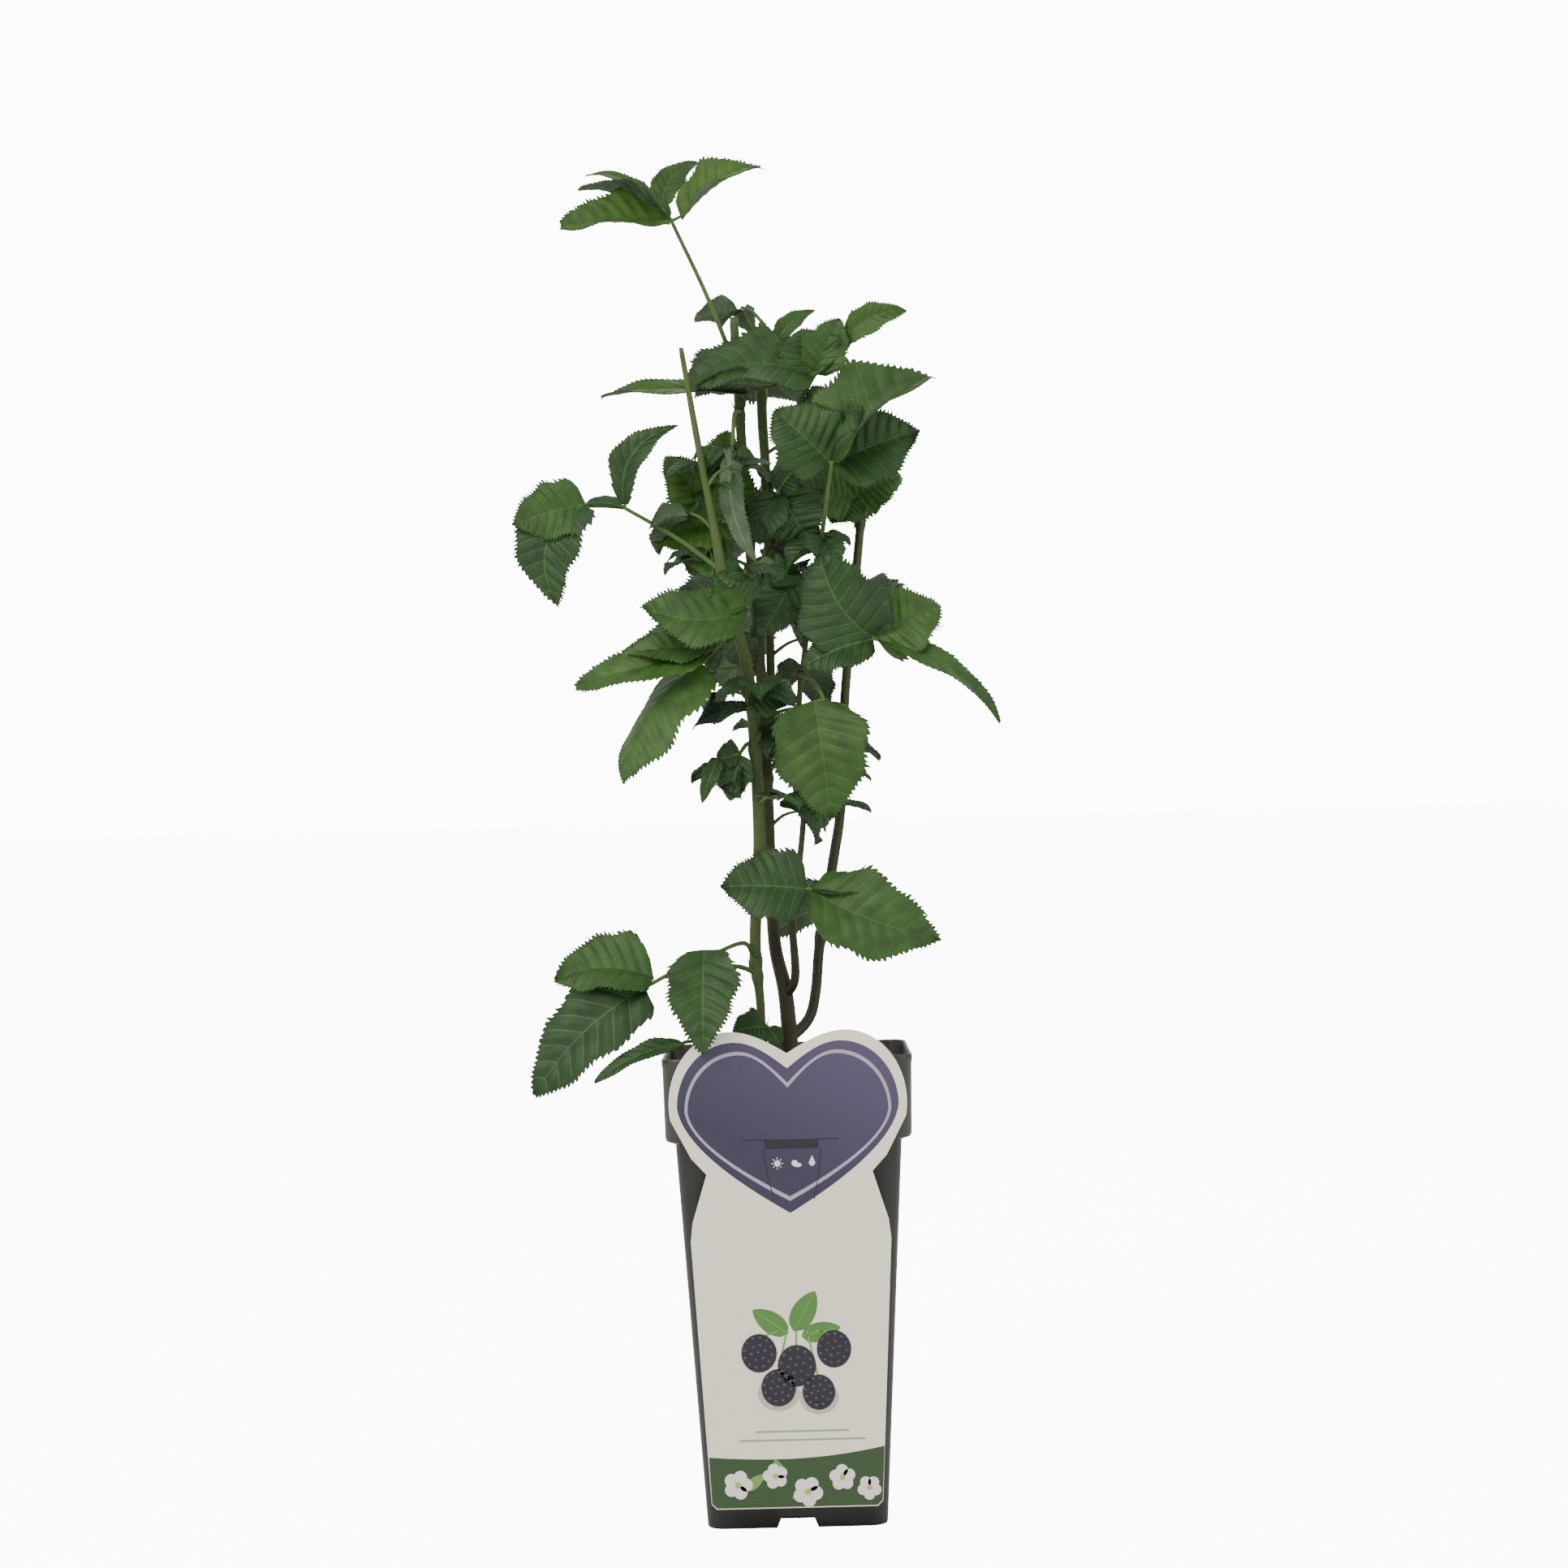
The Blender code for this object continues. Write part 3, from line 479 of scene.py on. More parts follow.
leafMaterials = {tone: [leafMaterial(f"leaf_{tone}_{i}", colour, leafRoughness.get(tone, 0.5))
                        for i, colour in enumerate(colours)]
                 for tone, colours in leafTones.items()}

# A blade: pairs of side veins with teeth between them. Columns are shares of the half width,
# ends are shares of the midrib, lobe and wave shape the margin, the trough holds the midrib.
bladeShape = {"thick": 0.34, "veins": 8, "teeth": 3, "tooth": 1.55, "toothSizes": (0.45, 1.5),
              "columns": (0.22, 0.42, 0.62, 0.8, 0.92, 1.0), "ends": (0.010, 0.998),
              "quilt": 0.65, "slant": 0.5, "lobe": 0.07, "wave": 0.13, "curl": (0.02, 0.12),
              "twist": 0.3, "trough": 0.5, "troughHalf": 1.3, "fullHalf": 12,
              "ribHalf": 0.32, "rib": 0.9, "veinRib": 0.3, "seed": 11}


def caneAt(name, height):           # x, y, z and radius of a cane at a height
    path = smoothPath(caneTable[name]["points"], 2)
    for low, high in zip(path, path[1:]):
        if low[2] <= height <= high[2]:
            return low + (high - low) * (height - low[2]) / (high[2] - low[2])
    return path[-1]


def facing(turn, lift):
    turn, lift = math.radians(turn), math.radians(lift)
    return np.array((math.sin(turn) * math.cos(lift), -math.cos(turn) * math.cos(lift),
                     math.sin(lift)))


def outline(t):                     # ovate, pointed, 1 at its widest
    return 2.33 * t ** 0.48 * (1 - t) ** 0.8


# Rows run along the side veins from the midrib to the margin, so each vein is a row of faces
def makeRows():
    rows = []                       # share of the midrib, tooth, vein or not
    period = 1 / bladeShape["veins"]
    teeth = bladeShape["teeth"]
    for k in range(bladeShape["veins"]):
        for j in range(teeth):
            start = (k + j / teeth) * period
            rows.append((start, 0.0, j == 0))
            if j == 0:
                rows.append((start + 0.07 * period, 0.2, False))
            rows.append((start + 0.5 * period / teeth, 0.6, False))
            rows.append((start + 0.88 * period / teeth, 1.0, False))
    rows.append((bladeShape["ends"][1], 0.0, False))
    return rows


# Faces of a blade and what each shows: upper and lower side by turns, then the cut edge
def makeFaces(rows, wide):
    faces, kinds = [], []
    count = len(rows)
    under = count * wide
    middle = wide // 2 - 1
    for i in range(count - 1):
        for k in range(wide - 1):
            isVein = k == middle or (rows[i][2] and 1 <= k < wide - 2)
            p = i * wide + k
            q = p + under
            faces += [(p, p + 1, p + 1 + wide, p + wide), (q, q + wide, q + 1 + wide, q + 1)]
            kinds += ["vein", "backVein"] if isVein else ["face", "back"]
    rim = list(range(wide))
    rim += [i * wide + wide - 1 for i in range(1, count)]
    rim += [(count - 1) * wide + k for k in range(wide - 2, -1, -1)]
    rim += [i * wide for i in range(count - 2, 0, -1)]
    for p, q in zip(rim, rim[1:] + rim[:1]):
        faces.append((q, p, p + under, q + under))
        kinds.append("face")
    return faces, kinds


bladeRows = makeRows()
bladeFaces, bladeKinds = makeFaces(bladeRows, 2 * len(bladeShape["columns"]) + 2)


# One leaflet: a serrated, quilted, folded and arched blade with thickness and raised ribs below
def leafletVerts(joint, data, chance):
    shape = bladeShape
    root = joint + np.array(data["start"], dtype=float)
    tip = joint + np.array(data["tip"], dtype=float)
    length = np.linalg.norm(tip - root)
    along = (tip - root) / length
    normal = facing(data["turn"], data["lift"])
    normal -= along * np.dot(normal, along)
    normal /= np.linalg.norm(normal)
    side = np.cross(along, normal)
    half = data["width"] / 2
    size = min(1.0, half / shape["fullHalf"])       # smaller blades have smaller relief

    # The outline: s runs over the blade, a and u along it, with teeth on the margin
    right = [min(shape["ribHalf"] / half, 0.12), *shape["columns"]]
    s = np.array([-x for x in reversed(right)] + right)[None, :]
    u = np.array([max(row[0], shape["ends"][0]) for row in bladeRows])[:, None]
    tooth = np.array([row[1] for row in bladeRows])[:, None]
    reach = np.abs(s)
    a = np.clip(u + shape["slant"] * reach * np.sqrt(u) * (1 - u), *shape["ends"])
    wide = outline(a) * half
    edge = np.where(reach > 0.95, 1.0, np.where(reach > 0.9, 0.35, 0.0))
    a = a + edge * tooth * 0.7 * size / length
    phase = chance.uniform(0, 6.3)
    wave = shape["wave"] * half * np.sin(a * 9 + phase + (s > 0) * 1.7) * reach ** 2
    curl = chance.uniform(*shape["curl"]) * length
    twist = chance.uniform(-shape["twist"], shape["twist"])
    margin = np.array([row[1] * chance.uniform(*shape["toothSizes"]) for row in bladeRows])[:, None]
    wide = wide * (1 + shape["lobe"] * np.sin(a * 17 + phase * 2 + (s > 0) * 2.1) * reach ** 2)
    wide = wide + edge * (margin - 0.5) * shape["tooth"] * size * np.minimum(1, wide / 3)
    across = s * wide

    # The relief: folded halves, arched midrib in its trough, quilting between the veins
    quilt = 0.5 - 0.5 * np.cos(2 * math.pi * u * shape["veins"])
    hump = 4 * a * (1 - a) * length
    rise = (np.abs(across) * math.tan(math.radians(data["fold"])) + data["arch"] * hump
            + shape["quilt"] * size * quilt * np.sin(math.pi * reach ** 0.7)
            - shape["trough"] * size * np.exp(-(across / shape["troughHalf"]) ** 2)
            + wave - curl * a ** 4 + twist * across * a)
    top = (root + along * (a[..., None] * length)
           + side * (across + data["bow"] * hump)[..., None] + normal * rise[..., None])
    onVein = np.array([float(row[2]) for row in bladeRows])[:, None]
    ribs = shape["rib"] * (1.1 - a) * (reach < 0.15) + shape["veinRib"] * onVein * (reach < 0.9)
    bottom = top - normal * (shape["thick"] + ribs * size)[..., None]
    return np.concatenate([top.reshape(-1, 3), bottom.reshape(-1, 3)])


# Colours are dealt out by leaflet: materials are the faces' tones, the vein, backs, back vein
def leafPaints(tones):
    return tones + leafMaterials["vein"] + leafMaterials["back"] + leafMaterials["backVein"]


def addLeaflet(shapes, slots, joint, data, chance, toneCount):
    shapes.append((leafletVerts(joint, data, chance), bladeFaces))
    backCount = len(leafMaterials["back"])
    index = {"face": chance.randrange(toneCount), "vein": toneCount,
             "back": toneCount + 1 + chance.randrange(backCount),
             "backVein": toneCount + 1 + backCount}
    slots += [index[kind] for kind in bladeKinds]


def buildLeaves():
    for number, (name, leaf) in enumerate(leafTable.items()):
        chance = random.Random(bladeShape["seed"] + number)
        joint = np.array(leaf["joint"], dtype=float)
        tones = leafMaterials[leaf["tone"]]
        shapes, slots = [], []
        for data in leaf["blades"]:
            addLeaflet(shapes, slots, joint, data, chance, len(tones))
        piece = addPiece(f"leaflets_{name}", shapes, leafPaints(tones), slots)
        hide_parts(f"leaf_{name}")


buildLeaves()
print("leaves")


# Young leaves from buds high on the plant: three leaflets on a short stalk, all round the canes
shootLook = {"count": 30, "seed": 3, "pieces": 3, "low": 262, "high": 412, "spiral": 2.4,
             "canes": ["cane_middle", "cane_upright", "cane_left", "cane_thin"],
             "stalk": (6, 20), "rise": (2, 9), "spread": 1.05, "blade": (15, 29),
             "sideBlade": 0.8, "width": 0.62, "droop": (-0.9, 0.15), "lift": (30, 75),
             "fold": (8, 30), "arch": (0.02, 0.14), "bow": (-0.05, 0.05)}


def buildShoots():
    look = shootLook
    chance = random.Random(look["seed"])
    tones = leafMaterials["deep"] + leafMaterials["mid"]
    groups = [([], []) for part in range(look["pieces"])]
    stalks = []
    for i in range(look["count"]):
        shapes, slots = groups[i % look["pieces"]]
        share = (i + chance.uniform(0, 1)) / look["count"]
        height = look["low"] + (look["high"] - look["low"]) * share
        spot = caneAt(look["canes"][i % len(look["canes"])], height)[:3]
        angle = i * look["spiral"] + chance.uniform(-0.5, 0.5)
        away = np.array((math.cos(angle), math.sin(angle), 0)) * chance.uniform(*look["stalk"])
        joint = spot + away + np.array((0, 0, chance.uniform(*look["rise"])))
        stalks.append([spot, (spot + joint) / 2 + np.array((0, 0, 1.5)), joint])
        for turn in (-1, 0, 1):
            length = chance.uniform(*look["blade"]) * (look["sideBlade"] if turn else 1.0)
            yaw = angle + turn * look["spread"]
            tip = np.array((math.cos(yaw), math.sin(yaw), chance.uniform(*look["droop"])))
            tip *= length / np.linalg.norm(tip)
            data = leaflet(tip, length * look["width"], math.degrees(angle) + 90,
                           chance.uniform(*look["lift"]), chance.uniform(*look["fold"]),
                           chance.uniform(*look["arch"]), tip * 0.08, chance.uniform(*look["bow"]))
            addLeaflet(shapes, slots, joint, data, chance, len(tones))
    for number, (shapes, slots) in enumerate(groups):
        piece = addPiece(f"young_leaflets_{number}", shapes, leafPaints(tones), slots)
    return stalks


youngStalks = buildShoots()
print("young leaves")


# Canes: young bark, ribbed along, green above and ripening to brown below, swollen at each leaf
caneLook = {"sides": 20, "ridges": 0.05, "swell": 0.3, "swellLength": 2.2, "cutTop": 0.86,
            "budLength": 5.0, "budGirth": 0.24, "budSpiral": 2.4,
            "green": ("#35481f", "#4d6230"), "greenFrom": (190, 400),
            "brown": ("#2c2a1a", "#3f3d24"), "brownTo": (230, 420),
            "stalk": ("#3f5628", "#526a34")}


def barkMaterial(name, foot, top, low, high):     # foot colours below, top colours above
    material = mottledMaterial(name, foot, 9, 0.55, 0.2, 0.7, 0.35)
    tree = material.node_tree
    above = noiseNode(tree, 11.11, 2.0)
    blendIn(tree, heightShare(tree, low, high),
            links={7: colourRamp(tree, above.outputs["Fac"], top)})
    return material


def budShape(centre, out):          # a pointed bud that leans on the cane
    length = caneLook["budLength"]
    t = np.linspace(0, 1, 7)
    line = centre + np.outer(t * length * 0.45, out) + np.outer(t * length * 0.9, (0, 0, 1.0))
    belly = np.sqrt(np.clip(1 - t ** 2, 0.01, 1)) * (0.75 + 2 * t * (1 - t))
    return tubeShape(np.column_stack([line, length * caneLook["budGirth"] * belly]), 8)


def buildCanes():
    look = caneLook
    barks = {"green": barkMaterial("young_green_bark", look["green"], look["green"],
                                   *look["greenFrom"]),
             "brown": barkMaterial("ripening_brown_bark", look["brown"], look["green"],
                                   *look["brownTo"])}
    for name, cane in caneTable.items():
        path = smoothPath(smoothPath(cane["points"], 4), 4)
        heights = [leaf["height"] for leaf in leafTable.values() if leaf["cane"] == name]
        for height in heights:
            bulge = np.exp(-((path[:, 2] - height + 1.5) / look["swellLength"]) ** 2)
            path[:, 3] *= 1 + look["swell"] * bulge
        path[-1, 3] *= look["cutTop"]
        shapes = [tubeShape(path, look["sides"], look["ridges"])]
        for i, height in enumerate(heights):
            spot = caneAt(name, height + 1)
            angle = i * look["budSpiral"] + 0.6
            out = np.array((math.cos(angle), math.sin(angle), 0))
            shapes.append(budShape(spot[:3] + out * spot[3] * 0.7, out))
        piece = addPiece(f"{name}_bark", shapes, [barks[cane["bark"]]])
        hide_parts(name)


# Leaf stalks with their swollen foot, the short stalks of the leaflets and two thin stipules each
stalkLook = {"girth": 1.0, "taper": 0.25, "foot": 0.55, "footLength": 0.07, "seed": 5,
             "short": (0.85, 0.5), "stipule": (0.4, 0.12), "young": (0.8, 0.5)}


def buildStalks():
    look = stalkLook
    skin = mottledMaterial("leaf_stalk_skin", caneLook["stalk"], 6, 0.6, 0.15, 0.5, 0.3)
    chance = random.Random(look["seed"])
    shapes = []
    for name, leaf in leafTable.items():
        spot = caneAt(leaf["cane"], leaf["height"])[:3]
        joint = np.array(leaf["joint"], dtype=float)
        bends = leaf["bends"] or [(spot + joint) / 2 + np.array((0, 0, 2))]
        line = smoothPath([spot, *bends, joint], 8)
        t = np.linspace(0, 1, len(line))
        swelling = look["foot"] * np.exp(-(t / look["footLength"]) ** 2)
        girth = look["girth"] - look["taper"] * t + swelling
        shapes.append(tubeShape(np.column_stack([line, girth]), 10, 0.06, 3))
        for data in leaf["blades"]:
            start = joint + np.array(data["start"], dtype=float)
            tip = joint + np.array(data["tip"], dtype=float)
            ahead = (tip - start) / np.linalg.norm(tip - start)
            ends = [joint, (joint + start) / 2 + ahead * 0.4, start + ahead * 1.5]
            shapes.append(taperShape(ends, 4, *look["short"], 8))
        for turn in (-1, 1):
            angle = chance.uniform(0, 6.3)
            lean = np.array((math.cos(angle), math.sin(angle), 2.2 + turn * 0.3))
            first = line[2] + np.array((0.6 * turn, 0, 0))
            ends = [first, first + lean * 1.4, first + lean * 2.6]
            shapes.append(taperShape(ends, 3, *look["stipule"], 6))
    for points in youngStalks:
        shapes.append(taperShape(points, 5, *look["young"], 8))
    piece = addPiece("leaf_stalks", shapes, [skin])
    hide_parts(*[f"stalk_{name}" for name in leafTable if f"stalk_{name}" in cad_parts])


buildCanes()
buildStalks()
print("canes and stalks")


# Pot: injection-moulded black polypropylene, dusty with dried compost and lime on its collar
potShape = {"height": 178, "wall": 1.3, "footHalf": 34, "bodyTopHalf": 42.5, "collarFoot": 147,
            "collarFootHalf": 46.25, "collarTopHalf": 47, "step": 1.5, "corner": 7, "floor": 6,
            "channelHeight": 4.4, "channelLow": 8.2, "channelHigh": 6.0, "channelLength": 21,
            "drainRadius": 4, "drainOffset": 22, "cornerSteps": 9, "lip": 0.5, "sharp": 35}
potLook = {"plastic": ("#0d1213", "#141919"), "dust": "#45463f", "dustHeight": (143, 150),
           "dustShare": (0.10, 0.75), "smear": 18.18}


def squareRing(half, corner, height):
    points = []
    steps = potShape["cornerSteps"]
    for quarter in range(4):
        for step in range(steps + 1):
            angle = (quarter + step / steps) * math.pi / 2
            x = (half - corner) * (1 if quarter in (0, 3) else -1) + corner * math.cos(angle)
            y = (half - corner) * (1 if quarter in (0, 1) else -1) + corner * math.sin(angle)
            points.append((x, y, height))
    return points


def bodyHalf(height):               # half width of the tapering body
    rise = potShape["bodyTopHalf"] - potShape["footHalf"]
    return potShape["footHalf"] + rise * height / (potShape["collarFoot"] - potShape["step"])


def potMaterial():
    look = potLook
    material = mottledMaterial("dusty_black_polypropylene", look["plastic"],
                               14, 0.42, 0.12, 0.6, 0.5)
    tree = material.node_tree
    smear = noiseNode(tree, look["smear"], 5.0)
    collar = heightShare(tree, *look["dustHeight"], *look["dustShare"])
    dust = addNode(tree, "ShaderNodeMath", {"operation": "MULTIPLY"},
                   links={0: smear.outputs["Fac"], 1: collar})
    blendIn(tree, dust.outputs["Value"], {7: linearColour(look["dust"])})
    return material


def potWalls():                     # half width, corner and height: up outside, down inside
    spec = potShape
    wall, corner, lip = spec["wall"], spec["corner"], spec["lip"]
    collar, top, half = spec["collarFoot"], spec["height"], spec["collarTopHalf"]
    step = collar - spec["step"]
    rows = [
        (spec["footHalf"] - 1.0, corner - 1.0, 0),
        (spec["footHalf"] - 0.3, corner - 0.3, 0.25),
        (bodyHalf(1.0), corner, 1.0),
        (spec["bodyTopHalf"], corner, step),
        (spec["bodyTopHalf"] + 0.4, corner, step + 0.35),
        (spec["collarFootHalf"] - 0.5, corner, collar),
        (spec["collarFootHalf"], corner, collar + 1.2),
        (half - 0.25, corner, top - 3.2),
        (half, corner, top - 2.6),
        (half, corner, top - lip),
        (half - 0.3, corner - 0.3, top),
        (half - wall + 0.3, corner - wall + 0.3, top),
        (half - wall, corner - wall, top - lip),
        (spec["collarFootHalf"] - wall, corner - wall, collar + 2.2),
        (spec["bodyTopHalf"] - wall, corner - wall, step + 0.8),
        (bodyHalf(spec["floor"]) - wall, corner - wall, spec["floor"]),
    ]
    return loftShape([squareRing(*row) for row in rows])


def potCutters():                   # four drainage channels under the floor and four holes
    spec = potShape
    low, high, deep = spec["channelLow"], spec["channelHigh"], spec["channelHeight"]
    shapes = []
    for side in range(4):
        ends = [[(x, -low, -1), (x, low, -1), (x, high, deep), (x, -high, deep)]
                for x in (spec["footHalf"] - spec["channelLength"], spec["footHalf"] + 6)]
        verts, faces = loftShape(ends)
        c, s = math.cos(side * math.pi / 2), math.sin(side * math.pi / 2)
        turned = np.column_stack([verts[:, 0] * c - verts[:, 1] * s,
                                  verts[:, 0] * s + verts[:, 1] * c, verts[:, 2]])
        shapes.append((turned, faces))
    for x in (-spec["drainOffset"], spec["drainOffset"]):
        for y in (-spec["drainOffset"], spec["drainOffset"]):
            rod = np.array([(x, y, z, spec["drainRadius"]) for z in (-8, 0, 12)], dtype=float)
            shapes.append(tubeShape(rod, 24))
    return shapes


def buildPot():
    pot = addPiece("pot_moulding", [potWalls()], [potMaterial()])
    outward(pot)
    cutters = [addPiece("cutter", [shape], []) for shape in potCutters()]
    for cutter in cutters:
        outward(cutter)
        pot.modifiers.new("cut", "BOOLEAN").object = cutter
    bakeObject(pot)
    for cutter in cutters:
        bpy.data.objects.remove(cutter, do_unlink=True)
    pot.data.set_sharp_from_angle(angle=math.radians(potShape["sharp"]))
    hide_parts("pot")


buildPot()
print("pot")


# Compost: damp peat, an uneven top and loose crumbs strewn by Geometry Nodes
compostLook = {"top": 163, "deep": 12, "cells": 70, "play": 0.2, "corner": 6, "swell": 1.6,
               "swellScale": 55, "rough": 0.5, "roughScale": 240,
               "peat": ("#241a13", "#3a2a1e"), "crumb": ("#2a1f17", "#4a3828"),
               "crumbs": 90000, "crumbLow": 0.5, "crumbHigh": 1.5, "seed": 4}


def strewTree(material):        # faces in, crumbs of mixed sizes out
    tree = bpy.data.node_groups.new("strew_crumbs", "GeometryNodeTree")
    tree.interface.new_socket("Ground", in_out="INPUT", socket_type="NodeSocketGeometry")
    for title in ("Per square metre", "Smallest", "Largest"):
        tree.interface.new_socket(title, in_out="INPUT", socket_type="NodeSocketFloat")
    tree.interface.new_socket("Crumbs", in_out="OUTPUT", socket_type="NodeSocketGeometry")
    start = addNode(tree, "NodeGroupInput")
    spots = addNode(tree, "GeometryNodeDistributePointsOnFaces",
                    values={"Seed": compostLook["seed"]},
                    links={"Mesh": start.outputs["Ground"],
                           "Density": start.outputs["Per square metre"]})
    size = addNode(tree, "FunctionNodeRandomValue", {"data_type": "FLOAT"}, values={"Seed": 2},
                   links={2: start.outputs["Smallest"], 3: start.outputs["Largest"]})
    turn = addNode(tree, "FunctionNodeRandomValue", {"data_type": "FLOAT_VECTOR"},
                   values={1: (6.3, 6.3, 6.3), "Seed": 3})
    stretch = addNode(tree, "FunctionNodeRandomValue", {"data_type": "FLOAT_VECTOR"},
                      values={0: (0.5, 0.5, 0.4), 1: (1.6, 1.0, 0.9), "Seed": 5})
    scale = addNode(tree, "ShaderNodeVectorMath", {"operation": "SCALE"},
                    links={0: stretch.outputs["Value"], "Scale": size.outputs[1]})
    crumb = addNode(tree, "GeometryNodeMeshIcoSphere", values={"Radius": 1.0, "Subdivisions": 1})
    strewn = addNode(tree, "GeometryNodeInstanceOnPoints",
                     links={"Points": spots.outputs["Points"], "Instance": crumb.outputs["Mesh"],
                            "Rotation": turn.outputs["Value"], "Scale": scale.outputs["Vector"]})
    real = addNode(tree, "GeometryNodeRealizeInstances",
                   links={"Geometry": strewn.outputs["Instances"]})
    paint = addNode(tree, "GeometryNodeSetMaterial", values={"Material": material},
                    links={"Geometry": real.outputs["Geometry"]})
    addNode(tree, "NodeGroupOutput", links={0: paint.outputs["Geometry"]})
    return tree


# The bed: an uneven grid with its corners drawn in to the pot's, skirted and closed below
def bedShape(half):
    spec = compostLook
    shape = bmesh.new()
    bmesh.ops.create_grid(shape, x_segments=spec["cells"], y_segments=spec["cells"],
                          size=half * mm)
    inner = (half - spec["corner"]) * mm
    for vert in shape.verts:
        x, y = vert.co.x, vert.co.y
        over = Vector((max(abs(x) - inner, 0), max(abs(y) - inner, 0)))
        if over.x > 0 and over.y > 0:
            shrink = max(over) / over.length
            vert.co.x = math.copysign(inner + over.x * shrink, x)
            vert.co.y = math.copysign(inner + over.y * shrink, y)
        level = spec["top"] - spec["swell"]
        level += spec["swell"] * noise.noise(Vector((x, y, 0)) * spec["swellScale"])
        level += spec["rough"] * noise.noise(Vector((x, y, 0.3)) * spec["roughScale"])
        vert.co.z = level * mm
    sunk = bmesh.ops.extrude_edge_only(shape, edges=[e for e in shape.edges if e.is_boundary])
    for item in sunk["geom"]:
        if isinstance(item, bmesh.types.BMVert):
            item.co.z = (spec["top"] - spec["deep"]) * mm
    skirt = [e for e in sunk["geom"] if isinstance(e, bmesh.types.BMEdge) and e.is_boundary]
    bmesh.ops.holes_fill(shape, edges=skirt, sides=0)
    bmesh.ops.recalc_face_normals(shape, faces=shape.faces)
    mesh = bpy.data.meshes.new("compost_bed")
    shape.to_mesh(mesh)
    shape.free()
    return mesh


def buildCompost():
    spec = compostLook
    half = potShape["collarFootHalf"] - potShape["wall"] - spec["play"]
    mesh = bedShape(half)
    mesh.materials.append(mottledMaterial("moist_peat", spec["peat"], 4, 0.9, 0.8, 1.2, 0.2))
    bed = linkObject("compost_bed", mesh)
    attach(bed, "root")
    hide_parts("compost")
    patch = bmesh.new()
    bmesh.ops.create_grid(patch, x_segments=8, y_segments=8, size=(half - 3.5) * mm)
    for vert in patch.verts:
        vert.co.z = (spec["top"] - spec["swell"]) * mm
    ground = bpy.data.meshes.new("compost_crumbs")
    patch.to_mesh(ground)
    patch.free()
    crumbs = linkObject("compost_crumbs", ground)
    strew = crumbs.modifiers.new("strew", "NODES")
    strew.node_group = strewTree(
        mottledMaterial("peat_crumbs", spec["crumb"], 3, 0.9, 0.3, 0.7, 0.2))
    wanted = {"Per square metre": spec["crumbs"], "Smallest": spec["crumbLow"] * mm,
              "Largest": spec["crumbHigh"] * mm}
    for item in strew.node_group.interface.items_tree:
        if item.name in wanted:
            strew[item.identifier] = float(wanted[item.name])
    bakeObject(crumbs)
    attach(crumbs, "root")


buildCompost()
print("compost")


# Care card: printed plastic card with a heart for its head, hooked over the pot's rim
cardShape = {"thick": 0.5, "front": -47.9, "heartHalf": 44.5, "heartMid": 161, "lobeTop": 188,
             "notch": 179.6, "waistHalf": 31, "waist": 135, "shoulderHalf": 37.4, "shoulder": 110,
             "footHalf": 32, "foot": 10, "hookHalf": 10, "hookDrop": 10, "hookThick": 0.6,
             "clear": 0.3}
printLook = {"layer": 0.07, "paper": ("#ece4d4", "#f0e9da"), "heart": ("#2f2a45", "#4c4462"),
             "line": "#a49bb0", "ink": "#211f2b", "berry": "#26232f", "berryLight": "#4d4a58",
             "leaf": "#4d7c3b", "leafLight": "#6c9a4d", "band": "#304a2a", "petal": "#e9dfe0",
             "eye": "#a9b45a", "rule": "#93a08c", "shadow": "#b9b4a8"}
printPaints = {}


# Printed ink under a clear satin varnish: one plain colour with a faint paper tooth
def printPaint(name):
    if name not in printPaints:
        colour = printLook[name]
        printPaints[name] = mottledMaterial(f"print_{name}", (colour, colour),
                                            8, 0.42, 0.03, 0.5, 0.4)
    return printPaints[name]


# The heart's ink is darker at the left and lighter at the upper right
def heartPaint():
    material, tree, shader = startMaterial("print_heart_ink", {"Roughness": 0.4})
    split = addNode(tree, "ShaderNodeSeparateXYZ", links={"Vector": objectPlace(tree)})
    lean = addNode(tree, "ShaderNodeMath", {"operation": "MULTIPLY_ADD"}, values={1: 0.55},
                   links={0: split.outputs["X"], 2: split.outputs["Z"]})
    spread = addNode(tree, "ShaderNodeMapRange", values={"From Min": 0.135, "From Max": 0.200},
                     links={"Value": lean.outputs["Value"]})
    tone = colourRamp(tree, spread.outputs["Result"], printLook["heart"])
    tree.links.new(tone, shader.inputs["Base Color"])
    return material


def arcPoints(x, z, wide, high, first, last, steps):
    turns = [math.radians(first + (last - first) * i / steps) for i in range(steps + 1)]
    return [(x + wide * math.cos(t), z + high * math.sin(t)) for t in turns]


def discPoints(x, z, wide, high, sides):        # a round of evenly spaced points
    return arcPoints(x, z, wide, high, 0, 360 * (sides - 1) / sides, sides - 1)


def leftHalf(right):            # upwards, for a right half from top to bottom
    return [(-x, z) for x, z in reversed(right) if x > 0.01]


def lobeRise(lobe, notch, top):             # from the notch up to the top of the right lobe
    return [(lobe * i / 8, notch + (top - notch) * math.sin(i / 8 * math.pi / 2))
            for i in range(8)]


def cardOutline():
    spec = cardShape
    lobe = spec["heartHalf"] / 2 - 0.5
    half = lobeRise(lobe, spec["notch"], spec["lobeTop"])
    half += arcPoints(lobe, spec["heartMid"], spec["heartHalf"] - lobe,
                      spec["lobeTop"] - spec["heartMid"], 90, -12, 20)
    half += [(spec["waistHalf"] + 5.5, spec["waist"] + 6), (spec["waistHalf"], spec["waist"]),
             (spec["shoulderHalf"] - 0.8, spec["shoulder"] + 7),
             (spec["shoulderHalf"], spec["shoulder"]),
             (spec["footHalf"], spec["foot"] + 2), (spec["footHalf"] - 2, spec["foot"])]
    return half + leftHalf(half)


